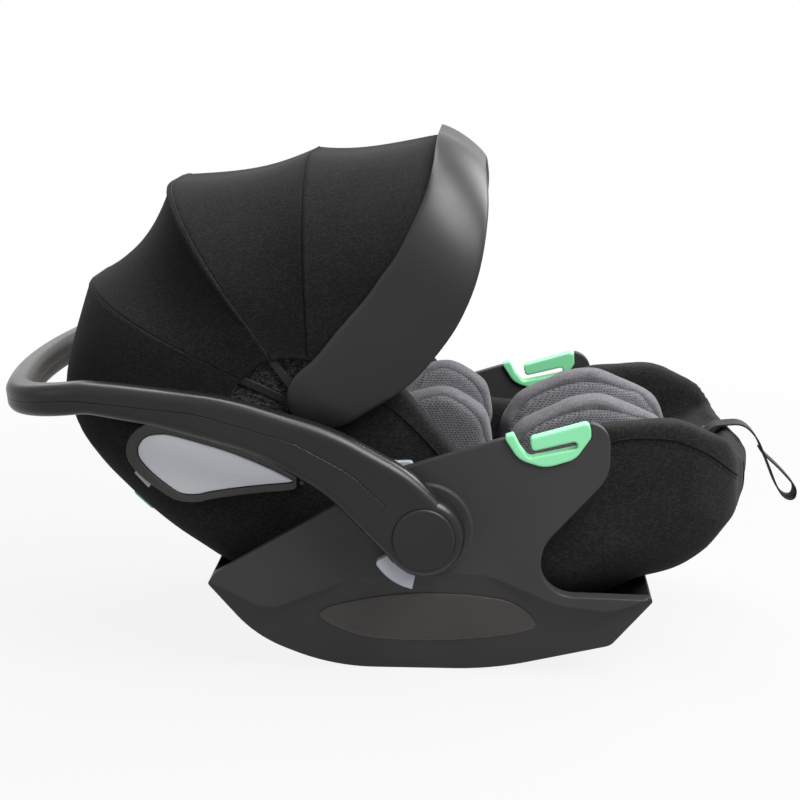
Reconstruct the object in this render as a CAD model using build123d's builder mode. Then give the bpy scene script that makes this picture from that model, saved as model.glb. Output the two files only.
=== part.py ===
import os
from math import acos, cos, degrees, radians, sin, tan

from build123d import *

# Infant car seat: a rocking base, a bucket that reclines in it, a carry handle and a folding canopy.
# Millimetres. +X points to the foot end, +Y to the child's left, +Z up, and the ground is Z = 0.
# Side views are drawn on the XZ plane, whose normal is -Y, the child's right.

os.makedirs("parts", exist_ok=True)

# Clearances
running_gap = 0.4
soft_gap = 0.3
pin_gap = 0.05
seam_gap = 0.5

# Base: a trough with two tall arms
base_half_width = 185.0
base_arm_wall = 10.0
base_floor_wall = 5.0
base_tuck = 34.0
tuck_top_z = 112.0
rocker_corners = [(-168, 97), (-122, 35), (-45, 0), (118, 0), (238, 31), (281, 88)]
rocker_radii = [120, 200, 300, 14]
arm_corners = [(164, 91), (166, 142), (231, 214), (231, 273), (124, 250), (28, 220), (-160, 109)]
arm_radii = [34, 40, 40, 22, 60, 40, 6]
rim_corner_radius = 4.0
tuck_arch = [
    (-190, -5), (-190, 108), (-150, 92), (-108, 70), (-20, 106), (110, 112), (184, 80), (238, 74), (300, 100), (300, -5),
]
tuck_radii = [4, 60, 40, 60, 60, 60, 60, 4]

# Handle hub and axle
hub_x = 50.5
hub_z = 158.0
hub_radius = 40.0
hub_ring_radius = 47.0
hub_ring_height = 4.0
axle_radius = 12.0
axle_head_radius = 18.0
axle_head_height = 6.0
axle_flange_radius = 20.0
axle_flange_height = 4.0
cap_radius = 30.5
cap_height = 4.5
cap_recess = 1.5
cap_edge_radius = 2.5
hub_edge_radius = 6.0

# Handle arms and cross bar
handle_half_width = 218.0
handle_thickness = 27.0
bar_height = 32.0
bar_reach = -385.5
bar_tilt = 6.0
bar_bow_radius = 757.0
bar_corner_radius = 65.0
handle_edge_radius = 10.5
arm_end_z = 291.5
arm_top_line = [(84, 176), (40, 222), (-35, 263.5), (-140, 295), (-245, 306)]
arm_top_radii = [150, 250, 350, 200, 80]
arm_under_line = [(22, 130), (-45, 199), (-112, 239), (-205, 264.5)]
arm_under_radii = [150, 200, 250, 60]
arm_straight = 14.0
seam_line = [(14, 190), (-20, 222), (-75, 252), (-172, 280)]
seam_radius = 90.0
seam_heel = (-24, 150)

# Handle release buttons, in the rim of each hub
button_mid_angle = 233.5
button_half_angle = 24.5
button_outer_radius = 55.0
button_inner_radius = 40.5
button_stem_width = 16.0
button_stem_end = 31.0
button_near = 199.0
button_thickness = 10.0
button_travel = 4.0
button_spring_coils = 5
button_spring_radius = 3.2
button_spring_wire = 0.9
button_spring_room = 8.0
button_edge_radius = 4.0

# Belt guides on the arms: a hook whose slot opens towards the head
guide_near = 172.0
guide_far = 187.5
guide_outline = [
    (127.5, 253), (136.5, 256), (143, 243), (152, 232), (199, 242.5), (199, 250.5), (155, 239.5),
    (152.5, 251.5), (211, 268.5), (212, 254), (197, 232), (168, 223), (142, 231),
]
guide_radii = [2, 2, 6, 5, 3.5, 3.5, 4, 4, 5, 8, 20, 30, 24]
guide_notch = [(127.5, 290), (127.5, 253), (142, 231), (168, 223), (197, 232), (212, 254), (211, 290)]
guide_notch_radii = [2, 24, 30, 20, 8]

# Recline: the bucket swings on arc rails about this centre
swing_x = 66.5
swing_z = 500.0
rail_inner = 378.0
rail_outer = 386.0
rail_near = 163.0
rail_start = -18.5
rail_end = 12.0
shoe_start = -9.5
shoe_end = 3.0
shoe_lip = 6.0
shoe_side_gap = 3.0

# Bucket: a trough turned about the recline centre, cut to a side view and a plan
bucket_radius = 457.0
bucket_half_width = 156.0
bucket_corner = 55.0
bucket_top_radius = 150.0
head_x = -326.0
foot_x = 385.5
head_plan_radius = 110.0
foot_plan_radius = 95.0
plan_spare = 3.0
rim_corners = [
    (-190, 330), (-60, 322), (25, 294), (84, 222), (176, 212), (222, 257), (300, 263), (352, 240), (386, 207),
]
rim_radii = [200, 150, 60, 30, 30, 30, 60, 40, 20]
rim_head_z = 298.0
foot_heel = (330, 98)
foot_front_z = 178.0
cover_thickness = 2.7
shell_thickness = 4.0
shell_rim_drop = 3.0

trough_start = -75.0
trough_end = 60.0
trough_floor = -60.0
trough_top = 440.0

# Padding inside the bucket
liner_radius = 430.0
liner_half_width = 126.0
liner_corner = 40.0
liner_head_wall = 17.0
pan_start = (104, 76)
pan_end = (360, 216)
pan_fillet = 30.0

# Newborn insert: a back pad and a seat pad, each with a tall bolster at either side
insert_half_width = 86.0
insert_back_radius = 405.0
insert_back_angles = (-36.0, 3.0)
insert_seat_span = (22.0, 238.0)
insert_seat_height = 13.0
bolster_near = 44.0
bolster_thickness = 42.0
bolster_edge = 13.0
back_bolster = [(20, 272), (70, 284), (112, 258), (121, 216)]
back_bolster_radii = [30, 40, 25, 25]
back_bolster_angles = (-2.0, -29.0)
back_bolster_root = 427.0
seat_bolster = [(131, 216), (148, 246), (200, 275), (230, 280), (296, 250)]
seat_bolster_radii = [18, 30, 40, 30, 40]

# Headrest, which runs on the curved back
headrest_angles = (-52.0, -37.5)
headrest_pad_radius = 400.0
headrest_pad_half_width = 52.0
headrest_wing_radius = 352.0
headrest_wing_thickness = 34.0
headrest_edge = 10.0

# Harness, lying on the back of the insert
strap_thickness = 1.8
strap_near = 8.0
strap_width = 28.0
strap_angles = (-36.5, -11.0)
pad_near = 4.0
pad_width = 37.0
pad_angles = (-34.0, -17.0)
pad_thickness = 12.0
pad_edge = 4.0
buckle_half_width = 25.0
buckle_angles = (-8.0, -1.0)
buckle_thickness = 14.0
tongue_angles = (-11.0, -4.0)
tongue_near = 3.0
tongue_width = 18.0
tongue_thickness = 2.0
hip_strap_angles = (-13.6, -11.0)
buckle_button_angles = (-5.5, -2.5)
buckle_button_half_width = 10.0
buckle_button_rise = 1.5
buckle_button_travel = 3.0
buckle_button_depth = 4.0
crotch_strap_half_width = 19.0
crotch_strap_end = 3.0
crotch_pad_half_width = 23.0
crotch_pad_angles = (-0.6, 2.8)

# Harness adjuster at the front of the leg rest, and its pull strap
adjuster_span = (250.0, 282.0)
adjuster_half_width = 22.0
adjuster_height = 9.0
adjuster_slope = 1.5
adjuster_button_span = (255.0, 268.0)
adjuster_button_half_width = 11.0
adjuster_button_rise = 2.0
adjuster_button_travel = 3.0
adjuster_button_floor = 5.0
pull_strap_half_width = 12.5
pull_strap_route = [(340, 210.3), (361, 226), (380, 229), (398, 216.5), (415, 191), (424.5, 169)]
pull_loop_route = [(424.5, 169), (429, 158.6), (439.5, 152.5), (434.5, 144.5), (423.5, 152), (416.5, 168)]

# Recline tabs beside the arms
recline_tab_outline = [(-12, 208), (38, 210), (38, 222), (-12, 220)]
recline_tab_radius = 4.0
recline_tab_thickness = 7.0

# Belt guides behind the head end
rear_guide_near = 62.0
rear_guide_width = 26.0
rear_guide_angle = -42.5
rear_guide_size = (30, 16)
rear_guide_bar = 5.0
rear_guide_sink = 6.0

# Belt lock bars under the base
lock_bar_radius = 5.0
lock_bar_z = 21.0
lock_bar_places = (-52, 150)
lock_window = (46, 190)
lock_bar_half_length = 151.0

# Canopy: bows on one pivot, with panels between them
pivot_x = -63.5
pivot_z = 270.0
pivot_radius = 5.0
pivot_base_radius = 9.0
bow_angles = [155.0, 125.5, 92.3]
bow_reach = [265.0, 262.0, 243.0]
bow_width = 8.0
bow_thickness = 3.6
bow_first_layer = 160.6
bow_layer_pitch = 4.2
bow_eye_radius = 12.0
bow_corner = 130.0
panel_thickness = 1.5
panel_foot = 64.0
panel_sag = [22.0, 18.0, 9.0]
panel_split = 0.2
panel_flat = 1.4
rear_panel_angles = (168.0, 175.0, 182.0)
rear_panel_reach = (266.5, 268.0, 270.0)
rear_panel_corners = (104.0, 104.0, 104.0)
visor_half_width = 181.5
visor_thickness = 3.5
visor_corner = 120.0
visor_tip_back = (59, 541)
visor_tip_front = (109, 506)
visor_back = [(24, 411), (-36, 339)]
visor_front = [(100, 424), (50, 330)]
visor_end_centre = (-50.5, 284)
visor_end_radius = 27.5
visor_boss_radius = 8.4
visor_back_angle = 65.7
visor_back_reach = 290.0
visor_under_angle = 57.5
visor_under_reach = 287.5

# Side impact flaps, hinged near the front of the head zone
flap_near = 165.5
flap_thickness = 6.5
flap_outline = [
    (-243, 234), (-224, 259), (-136, 240), (-62, 206), (-80, 199.5), (-178, 181), (-226, 206),
]
flap_radii = [18, 15, 80, 5, 10, 26, 26]
flap_panel_recess = 1.5
flap_pin_x = -72.0
flap_pin_radius = 2.0
flap_barrel_radius = 4.2
flap_ear_height = 4.0
flap_tab_length = 30.0
flap_tab_width = 18.0
flap_tab_thickness = 7.0
flap_tab_place = (-190, 203)
flap_tab_angle = 58.0
flap_edge_radius = 1.5
flap_inlay = [(-228, 234), (-217, 247), (-136, 229), (-86, 206.5), (-176, 192), (-218, 213)]
flap_inlay_radii = [13, 11, 70, 4, 22, 18]
flap_panel_thickness = 3.0
flap_pin_z = 206.0
flap_barrel_height = 6.0


def swing_point(radius, angle):
    # Side view point at a radius from the recline centre, its angle from straight down to the foot end
    return (swing_x + radius * sin(radians(angle)), swing_z - radius * cos(radians(angle)))


def swing_plane(angle):
    # Plane through the recline axis: local x along +Y, local y towards the axis
    up = (-sin(radians(angle)), 0, cos(radians(angle)))
    return Plane((swing_x, 0, swing_z), x_dir=(0, 1, 0), z_dir=(up[2], 0, -up[0]))


def canopy_plane(angle):
    # Plane through the canopy pivot: local x along +Y, local y away from the pivot
    out = (cos(radians(angle)), 0, sin(radians(angle)))
    return Plane((pivot_x, 0, pivot_z), x_dir=(0, 1, 0), z_dir=(out[2], 0, -out[0]))


def side_prism(corners, radii, near, thickness):
    # A rounded side view outline between two distances on the right-hand side
    with BuildPart() as prism:
        with BuildSketch(Plane.XZ.offset(near)):
            with BuildLine():
                FilletPolyline(*corners, radius=radii, close=True)
            make_face()
        extrude(amount=thickness)
    return prism.part


def arc_band(centre, inner, outer, start, size, near, thickness):
    # Part of a flat ring about a side view centre; angles are from +X, anticlockwise
    with BuildPart() as band:
        with BuildSketch(Plane.XZ.offset(near)):
            with BuildLine():
                outside = CenterArc(centre, outer, start, size)
                inside = CenterArc(centre, inner, start, size)
                Line(outside @ 0, inside @ 0)
                Line(outside @ 1, inside @ 1)
            make_face()
        extrude(amount=thickness)
    return band.part


def swing_band(inner, outer, first, last, near, thickness):
    # Part of a flat ring about the recline centre, between two angles from straight down
    return arc_band((swing_x, swing_z), inner, outer, 270 + first, last - first, near, thickness)


def side_disc(x, z, radius, near, thickness):
    with BuildPart() as disc:
        with BuildSketch(Plane.XZ.offset(near)):
            with Locations((x, z)):
                Circle(radius)
        extrude(amount=thickness)
    return disc.part


def inset_corners(corners, amount):
    # Corners of an open line moved to its left
    points = [Vector(*corner) for corner in corners]
    moved = []
    for index, point in enumerate(points):
        runs = []
        if index > 0:
            runs.append((point - points[index - 1]).normalized())
        if index < len(points) - 1:
            runs.append((points[index + 1] - point).normalized())
        normals = [Vector(-run.Y, run.X) for run in runs]
        push = normals[0]
        if len(normals) == 2:
            push = (normals[0] + normals[1]) / (1 + normals[0].dot(normals[1]))
        place = point + push * amount
        moved.append((place.X, place.Y))
    return moved


def write(piece, name):
    piece.label = name
    export_step(piece, f"parts/{name}.step")


def write_pair(piece, name):
    write(piece, f"{name}_right")
    write(mirror(piece, about=Plane.XZ), f"{name}_left")


# Base shell: side view across the whole width, tucked in below an arch, hollowed from above
base_inner_half_width = base_half_width - base_arm_wall
base_cavity_top = 330.0
base_cavity_line = inset_corners(rocker_corners, base_floor_wall)
base_cavity_end = (base_cavity_line[-1][0], base_cavity_top)
base_cavity_start = (base_cavity_line[0][0], base_cavity_top)
base_cavity_radii = [radius - base_floor_wall for radius in rocker_radii]

with BuildPart() as base_cavity:
    with BuildSketch(Plane.XZ):
        with BuildLine():
            floor_line = FilletPolyline(*base_cavity_line, radius=base_cavity_radii)
            Polyline(floor_line @ 1, base_cavity_end, base_cavity_start, floor_line @ 0)
        make_face()
    extrude(amount=base_inner_half_width, both=True)
    with BuildSketch(Plane.YZ):
        Polygon(
            (-base_inner_half_width + base_tuck, 0),
            (base_inner_half_width - base_tuck, 0),
            (base_inner_half_width, tuck_top_z),
            (base_inner_half_width, base_cavity_top),
            (-base_inner_half_width, base_cavity_top),
            (-base_inner_half_width, tuck_top_z),
            align=None,
        )
    extrude(amount=2 * abs(bar_reach), both=True, mode=Mode.INTERSECT)

with BuildPart() as base_tuck_right:
    with BuildSketch(Plane.XZ.offset(base_half_width - base_tuck - base_arm_wall)):
        with BuildLine():
            FilletPolyline(*tuck_arch, radius=[0, *tuck_radii, 0], close=True)
        make_face()
    extrude(amount=base_tuck + 2 * base_arm_wall)
    with BuildSketch(Plane.YZ):
        Polygon(
            (-base_half_width, tuck_top_z),
            (-base_half_width + base_tuck, 0),
            (-base_half_width + base_tuck, -base_arm_wall),
            (-base_half_width - base_arm_wall, -base_arm_wall),
            (-base_half_width - base_arm_wall, tuck_top_z),
            align=None,
        )
    extrude(amount=2 * abs(bar_reach), both=True, mode=Mode.INTERSECT)

guide_notch_cut = side_prism(
    inset_corners(guide_notch, -pin_gap), [0, *guide_notch_radii, 0], guide_near - 5, guide_far - guide_near + 10
)

with BuildPart() as base_shell:
    with BuildSketch(Plane.XZ):
        with BuildLine():
            FilletPolyline(
                *rocker_corners,
                *arm_corners,
                radius=[rim_corner_radius, *rocker_radii, rim_corner_radius, *arm_radii],
                close=True,
            )
        make_face()
    extrude(amount=base_half_width, both=True)
    add(base_cavity.part, mode=Mode.SUBTRACT)
    add(base_tuck_right.part, mode=Mode.SUBTRACT)
    mirror(base_tuck_right.part, about=Plane.XZ, mode=Mode.SUBTRACT)
    hub_ring = side_disc(hub_x, hub_z, hub_ring_radius, base_half_width, hub_ring_height)
    add(hub_ring)
    mirror(hub_ring, about=Plane.XZ)
    add(guide_notch_cut, mode=Mode.SUBTRACT)
    mirror(guide_notch_cut, about=Plane.XZ, mode=Mode.SUBTRACT)
    with Locations(Location((hub_x, 0, hub_z), (90, 0, 0))):
        Cylinder(axle_radius, 2 * (base_half_width + hub_ring_height), mode=Mode.SUBTRACT)
    for bar_x in lock_bar_places:
        with Locations((bar_x, 0, 0)):
            Box(*lock_window, 2 * lock_bar_z, mode=Mode.SUBTRACT)
        with Locations(Location((bar_x, 0, lock_bar_z), (90, 0, 0))):
            Cylinder(lock_bar_radius, 2 * lock_bar_half_length, mode=Mode.SUBTRACT)
write(base_shell.part, "base_shell")

with BuildPart() as base_lock_bars:
    for bar_x in lock_bar_places:
        with Locations(Location((bar_x, 0, lock_bar_z), (90, 0, 0))):
            Cylinder(lock_bar_radius, 2 * lock_bar_half_length)
write(base_lock_bars.part, "base_lock_bars")

# Belt guides: one moulded hook on the top of each arm
belt_guide = side_prism(guide_outline, guide_radii, guide_near, guide_far - guide_near)
write_pair(belt_guide, "belt_guide")

# Recline rails: arcs on the inside of the arms
recline_rail = swing_band(
    rail_inner, rail_outer, rail_start, rail_end, rail_near, base_inner_half_width - rail_near
)
write_pair(recline_rail, "recline_rail")

# Handle: two arms cut from their side view, joined by a bar of three arcs in a tilted plane
arm_centre_y = handle_half_width - handle_thickness / 2
corner_turn = acos((arm_centre_y - bar_corner_radius) / (bar_bow_radius - bar_corner_radius))
corner_reach = bar_corner_radius * sin(corner_turn)
bar_depth = corner_reach + bar_bow_radius * (1 - sin(corner_turn))
bar_along = Vector(cos(radians(bar_tilt)), sin(radians(bar_tilt)))
bar_up = Vector(-bar_along.Y, bar_along.X)
arm_end = Vector(bar_reach + handle_thickness / 2 + bar_depth, arm_end_z)
arm_end_top = arm_end + bar_up * (bar_height / 2)
arm_end_foot = arm_end - bar_up * (bar_height / 2)
arm_straight_top = arm_end_top + bar_along * arm_straight
arm_straight_foot = arm_end_foot + bar_along * arm_straight
bar_plane = Plane((arm_end.X, 0, arm_end.Y), x_dir=(bar_along.X, 0, bar_along.Y), z_dir=(bar_up.X, 0, bar_up.Y))
bar_normal = bar_plane.z_dir


def bar_section(place, x_dir, z_dir):
    return Plane(bar_plane.from_local_coords(place), x_dir=x_dir, z_dir=z_dir)


with BuildPart() as handle_arm:
    with BuildSketch(Plane.XZ.offset(handle_half_width - handle_thickness)):
        with BuildLine():
            top_line = FilletPolyline(
                *arm_top_line,
                (arm_straight_top.X, arm_straight_top.Y),
                (arm_end_top.X, arm_end_top.Y),
                radius=arm_top_radii,
            )
            under_line = FilletPolyline(
                *arm_under_line,
                (arm_straight_foot.X, arm_straight_foot.Y),
                (arm_end_foot.X, arm_end_foot.Y),
                radius=arm_under_radii,
            )
            Line(top_line @ 0, under_line @ 0)
            Line(top_line @ 1, under_line @ 1)
        make_face()
        with Locations((hub_x, hub_z)):
            Circle(hub_radius)
    extrude(amount=handle_thickness)
    rounded = handle_arm.edges().group_by(Axis.Y)[0] + handle_arm.edges().group_by(Axis.Y)[-1]
    end_edges = rounded.group_by(Axis.X)[0]
    fillet([edge for edge in rounded if edge not in end_edges], handle_edge_radius)

with BuildPart() as handle:
    add(handle_arm.part)
    mirror(handle_arm.part, about=Plane.XZ)
    corner_hub_y = arm_centre_y - bar_corner_radius
    for side in (-1, 1):
        with BuildSketch(bar_section((0, side * arm_centre_y, 0), (0, 1, 0), bar_plane.x_dir)):
            RectangleRounded(handle_thickness, bar_height, handle_edge_radius)
        corner_axis = Axis(bar_plane.from_local_coords((0, side * corner_hub_y, 0)), bar_normal)
        revolve(axis=corner_axis, revolution_arc=side * degrees(corner_turn))
    bow_turn = 90 - degrees(corner_turn)
    bow_axis = Axis(bar_plane.from_local_coords((bar_bow_radius - bar_depth, 0, 0)), bar_normal)
    for side in (-1, 1):
        with BuildSketch(bar_section((-bar_depth, 0, 0), bar_plane.x_dir, (0, 1, 0))):
            RectangleRounded(handle_thickness, bar_height, handle_edge_radius)
        revolve(axis=bow_axis, revolution_arc=side * bow_turn)

with BuildPart() as hub_cuts:
    add(side_disc(hub_x, hub_z, axle_radius + pin_gap, 0, handle_half_width))
    head_pocket = axle_head_height + 2 * running_gap
    head_pocket_near = handle_half_width - cap_recess - head_pocket
    add(side_disc(hub_x, hub_z, axle_head_radius + running_gap, head_pocket_near, head_pocket))
    add(side_disc(hub_x, hub_z, cap_radius, handle_half_width - cap_recess, cap_recess))
    button_slot_near = button_near - running_gap
    button_slot_width = button_thickness + 2 * running_gap
    slot_half_angle = button_half_angle + 5
    add(
        arc_band(
            (hub_x, hub_z), button_inner_radius - button_travel - 1, hub_radius + 40,
            button_mid_angle - slot_half_angle, 2 * slot_half_angle, button_slot_near, button_slot_width,
        )
    )
    with BuildSketch(Plane.XZ.offset(button_slot_near)):
        with Locations(Location((hub_x, hub_z, 0), (0, 0, button_mid_angle))):
            with Locations(((button_stem_end - button_travel - button_spring_room + hub_radius) / 2, 0)):
                Rectangle(
                    hub_radius - button_stem_end + button_travel + button_spring_room,
                    button_stem_width + 2 * running_gap,
                )
    extrude(amount=button_slot_width)


def handle_under(gap):
    # Everything below the seam of the handle, with its seam and heel moved out by a gap
    seam_end = arm_end - bar_along * (2 * bar_depth)
    seam_points = [*seam_line, (arm_end.X, arm_end.Y), (seam_end.X, seam_end.Y)]
    heel = (seam_heel[0] + gap, seam_heel[1])
    with BuildPart() as under:
        with BuildSketch(Plane.XZ):
            with BuildLine():
                seam = FilletPolyline(*[(x + gap, z + gap) for x, z in seam_points], radius=seam_radius)
                Polyline(seam @ 1, (seam_end.X, heel[1]), heel, seam @ 0)
            make_face()
        extrude(amount=handle_half_width + 20, both=True)
    return under.part


with BuildPart() as handle_upper_shell:
    add(handle.part)
    add(hub_cuts.part, mode=Mode.SUBTRACT)
    mirror(hub_cuts.part, about=Plane.XZ, mode=Mode.SUBTRACT)
    add(handle_under(seam_gap), mode=Mode.SUBTRACT)
write(handle_upper_shell.part, "handle_upper_shell")

with BuildPart() as handle_lower_shell:
    add(handle.part)
    add(hub_cuts.part, mode=Mode.SUBTRACT)
    mirror(hub_cuts.part, about=Plane.XZ, mode=Mode.SUBTRACT)
    add(handle_under(0), mode=Mode.INTERSECT)
write(handle_lower_shell.part, "handle_lower_shell")

# Handle axles: flange inside the arm, shaft through arm and hub, head under the cap
with BuildPart() as handle_axle:
    axle_end = handle_half_width - cap_recess - running_gap
    add(side_disc(hub_x, hub_z, axle_flange_radius, base_inner_half_width - axle_flange_height, axle_flange_height))
    add(side_disc(hub_x, hub_z, axle_radius, base_inner_half_width, axle_end - base_inner_half_width))
    add(side_disc(hub_x, hub_z, axle_head_radius, axle_end - axle_head_height, axle_head_height))
write_pair(handle_axle.part, "handle_axle")

# Hub caps: domed discs, left bare
with BuildPart() as hub_cap:
    add(side_disc(hub_x, hub_z, cap_radius, handle_half_width - cap_recess, cap_height))
    fillet(hub_cap.edges().group_by(Axis.Y)[0], cap_edge_radius)
write_pair(hub_cap.part, "hub_cap")

# Handle release buttons: an arc pad outside the hub and a stem that runs in it
with BuildPart() as handle_button:
    add(
        arc_band(
            (hub_x, hub_z), button_inner_radius, button_outer_radius, button_mid_angle - button_half_angle,
            2 * button_half_angle, button_near, button_thickness,
        )
    )
    fillet(handle_button.edges().filter_by(Axis.Y).group_by(Axis.X)[0], button_edge_radius)
    with BuildSketch(Plane.XZ.offset(button_near)):
        with Locations(Location((hub_x, hub_z, 0), (0, 0, button_mid_angle))):
            with Locations(((button_stem_end + button_inner_radius + 2) / 2, 0)):
                Rectangle(button_inner_radius + 2 - button_stem_end, button_stem_width)
    extrude(amount=button_thickness)
write_pair(handle_button.part, "handle_release_button")

# Bucket cover, shell and liner: the same trough at three depths
swing_axis = Axis((swing_x, 0, swing_z), (0, -1, 0))
shell_depth = cover_thickness + soft_gap
liner_depth = shell_depth + shell_thickness + soft_gap


def trough(radius, half_width, corner):
    # A U section turned about the recline axis
    with BuildPart() as turned:
        with BuildSketch(swing_plane(trough_start)):
            with BuildLine():
                wall = FilletPolyline(
                    (-half_width, -bucket_top_radius),
                    (-half_width, -radius),
                    (half_width, -radius),
                    (half_width, -bucket_top_radius),
                    radius=corner,
                )
                Line(wall @ 1, wall @ 0)
            make_face()
        revolve(axis=swing_axis, revolution_arc=trough_end - trough_start)
    return turned.part


def bucket_form(depth, rise):
    # The bucket moved in by a depth, with its rim raised
    head = head_x + depth
    foot = foot_x - depth
    rim = [(min(x, foot), z + rise) for x, z in reversed(rim_corners)]
    half_width = bucket_half_width - depth
    with BuildPart() as form:
        add(trough(bucket_radius - depth, half_width, bucket_corner - depth))
        with BuildSketch(Plane.XZ):
            with BuildLine():
                FilletPolyline(
                    (head - plan_spare, trough_floor),
                    (foot_heel[0] - depth, trough_floor),
                    (foot_heel[0] - depth, foot_heel[1]),
                    (foot, foot_front_z),
                    *rim,
                    (head - plan_spare, rim_head_z + rise),
                    radius=[0, 0, 0, *reversed(rim_radii[-1:]), *reversed(rim_radii), 0],
                    close=True,
                )
            make_face()
        extrude(amount=bucket_half_width, both=True, mode=Mode.INTERSECT)
        with BuildSketch(Plane.XY.offset(trough_floor)):
            with BuildLine():
                FilletPolyline(
                    (head, -half_width - plan_spare),
                    (foot, -half_width - plan_spare),
                    (foot, half_width + plan_spare),
                    (head, half_width + plan_spare),
                    radius=[
                        head_plan_radius - depth,
                        foot_plan_radius - depth,
                        foot_plan_radius - depth,
                        head_plan_radius - depth,
                    ],
                    close=True,
                )
            make_face()
        extrude(amount=trough_top - trough_floor, mode=Mode.INTERSECT)
    return form.part


open_rise = 60.0

with BuildPart() as outer_cover:
    add(bucket_form(0, 0))
    add(bucket_form(cover_thickness, open_rise), mode=Mode.SUBTRACT)
write(outer_cover.part, "outer_cover")

with BuildPart() as seat_shell:
    add(bucket_form(shell_depth, -shell_rim_drop))
    add(bucket_form(shell_depth + shell_thickness, open_rise), mode=Mode.SUBTRACT)
write(seat_shell.part, "seat_shell")

with BuildPart() as child_space:
    add(trough(liner_radius, liner_half_width, liner_corner))
    with BuildSketch(Plane.XZ):
        with BuildLine():
            FilletPolyline(
                (head_x + liner_head_wall - plan_spare, trough_floor),
                (pan_start[0] - 30, trough_floor),
                pan_start,
                pan_end,
                (foot_x, pan_end[1] + 30),
                (foot_x, trough_top),
                (head_x + liner_head_wall - plan_spare, trough_top),
                radius=[0, 0, pan_fillet, pan_fillet, 0, 0, 0],
                close=True,
            )
        make_face()
    extrude(amount=bucket_half_width, both=True, mode=Mode.INTERSECT)
    with BuildSketch(Plane.XY.offset(trough_floor)):
        with BuildLine():
            FilletPolyline(
                (head_x + liner_head_wall, -liner_half_width - plan_spare),
                (foot_x + plan_spare, -liner_half_width - plan_spare),
                (foot_x + plan_spare, liner_half_width + plan_spare),
                (head_x + liner_head_wall, liner_half_width + plan_spare),
                radius=[head_plan_radius - liner_head_wall, 0, 0, head_plan_radius - liner_head_wall],
                close=True,
            )
        make_face()
    extrude(amount=trough_top - trough_floor, mode=Mode.INTERSECT)

with BuildPart() as seat_liner:
    add(bucket_form(liner_depth, 0))
    add(child_space.part, mode=Mode.SUBTRACT)
write(seat_liner.part, "seat_liner")

# Recline shoes: a channel on either side of the bucket that runs on the rail
shoe_inner = rail_inner - running_gap - shoe_lip
shoe_outer = rail_outer + running_gap + shoe_lip
shoe_near = bucket_half_width
shoe_far = base_inner_half_width - shoe_side_gap

with BuildPart() as recline_shoe:
    add(swing_band(shoe_inner, shoe_outer, shoe_start, shoe_end, shoe_near, shoe_far - shoe_near))
    channel_near = rail_near - running_gap
    add(
        swing_band(
            rail_inner - running_gap, rail_outer + running_gap, shoe_start - 1, shoe_end + 1, channel_near,
            base_half_width - channel_near,
        ),
        mode=Mode.SUBTRACT,
    )
write_pair(recline_shoe.part, "recline_shoe")

# Recline tabs: levers beside the arms that free the bucket
with BuildPart() as recline_tab:
    add(
        side_prism(
            recline_tab_outline, recline_tab_radius, bucket_half_width + soft_gap, recline_tab_thickness
        )
    )
    fillet(recline_tab.edges().group_by(Axis.Y)[0], recline_tab_radius / 4)
write_pair(recline_tab.part, "recline_tab")

# Newborn insert
pan_along = (Vector(*pan_end) - Vector(*pan_start)).normalized()
pan_up = Vector(-pan_along.Y, pan_along.X)


def pan_point(distance, height):
    # Side view point along the seat pan from its rear end, and above it
    place = Vector(*pan_start) + pan_along * distance + pan_up * height
    return (place.X, place.Y)


def bolster(corners, radii):
    with BuildPart() as lobe:
        add(side_prism(corners, radii, bolster_near, bolster_thickness))
        fillet(lobe.edges().group_by(Axis.Y)[0] + lobe.edges().group_by(Axis.Y)[-1], bolster_edge)
    return lobe.part


back_lobe = bolster(
    [
        swing_point(back_bolster_root, back_bolster_angles[1]),
        *back_bolster,
        swing_point(back_bolster_root, back_bolster_angles[0]),
    ],
    [bolster_edge + 2, *back_bolster_radii, bolster_edge + 2],
)
seat_lobe = bolster(
    [
        pan_point(insert_seat_span[0], soft_gap),
        *seat_bolster,
        pan_point(insert_seat_span[1], soft_gap),
    ],
    [bolster_edge + 2, *seat_bolster_radii, bolster_edge + 2],
)

with BuildPart() as newborn_insert_back:
    add(
        swing_band(
            insert_back_radius, liner_radius - soft_gap, *insert_back_angles, -insert_half_width,
            2 * insert_half_width,
        )
    )
    add(back_lobe)
    mirror(back_lobe, about=Plane.XZ)
write(newborn_insert_back.part, "newborn_insert_back")

with BuildPart() as newborn_insert_seat:
    with BuildSketch(Plane.XZ):
        Polygon(
            pan_point(insert_seat_span[0], soft_gap),
            pan_point(insert_seat_span[1], soft_gap),
            pan_point(insert_seat_span[1], insert_seat_height),
            pan_point(insert_seat_span[0], insert_seat_height),
            align=None,
        )
    extrude(amount=insert_half_width, both=True)
    add(seat_lobe)
    mirror(seat_lobe, about=Plane.XZ)
write(newborn_insert_seat.part, "newborn_insert_seat")

# Headrest: a pad with a wing at either side
headrest_back = liner_radius - soft_gap
headrest_wing = swing_band(
    headrest_wing_radius, headrest_back, *headrest_angles, headrest_pad_half_width, headrest_wing_thickness
)
with BuildPart() as headrest:
    add(
        swing_band(
            headrest_pad_radius, headrest_back, *headrest_angles, -headrest_pad_half_width,
            2 * headrest_pad_half_width,
        )
    )
    add(headrest_wing)
    mirror(headrest_wing, about=Plane.XZ)
write(headrest.part, "headrest")

# Harness
strap_outer = insert_back_radius - soft_gap
strap_inner = strap_outer - strap_thickness
shoulder_strap = swing_band(strap_inner, strap_outer, *strap_angles, strap_near, strap_width)
write_pair(shoulder_strap, "shoulder_strap")

with BuildPart() as shoulder_pad:
    pad_outer = strap_inner - soft_gap
    add(swing_band(pad_outer - pad_thickness, pad_outer, *pad_angles, pad_near, pad_width))
    fillet(shoulder_pad.edges(), pad_edge)
write_pair(shoulder_pad.part, "shoulder_pad")

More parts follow.
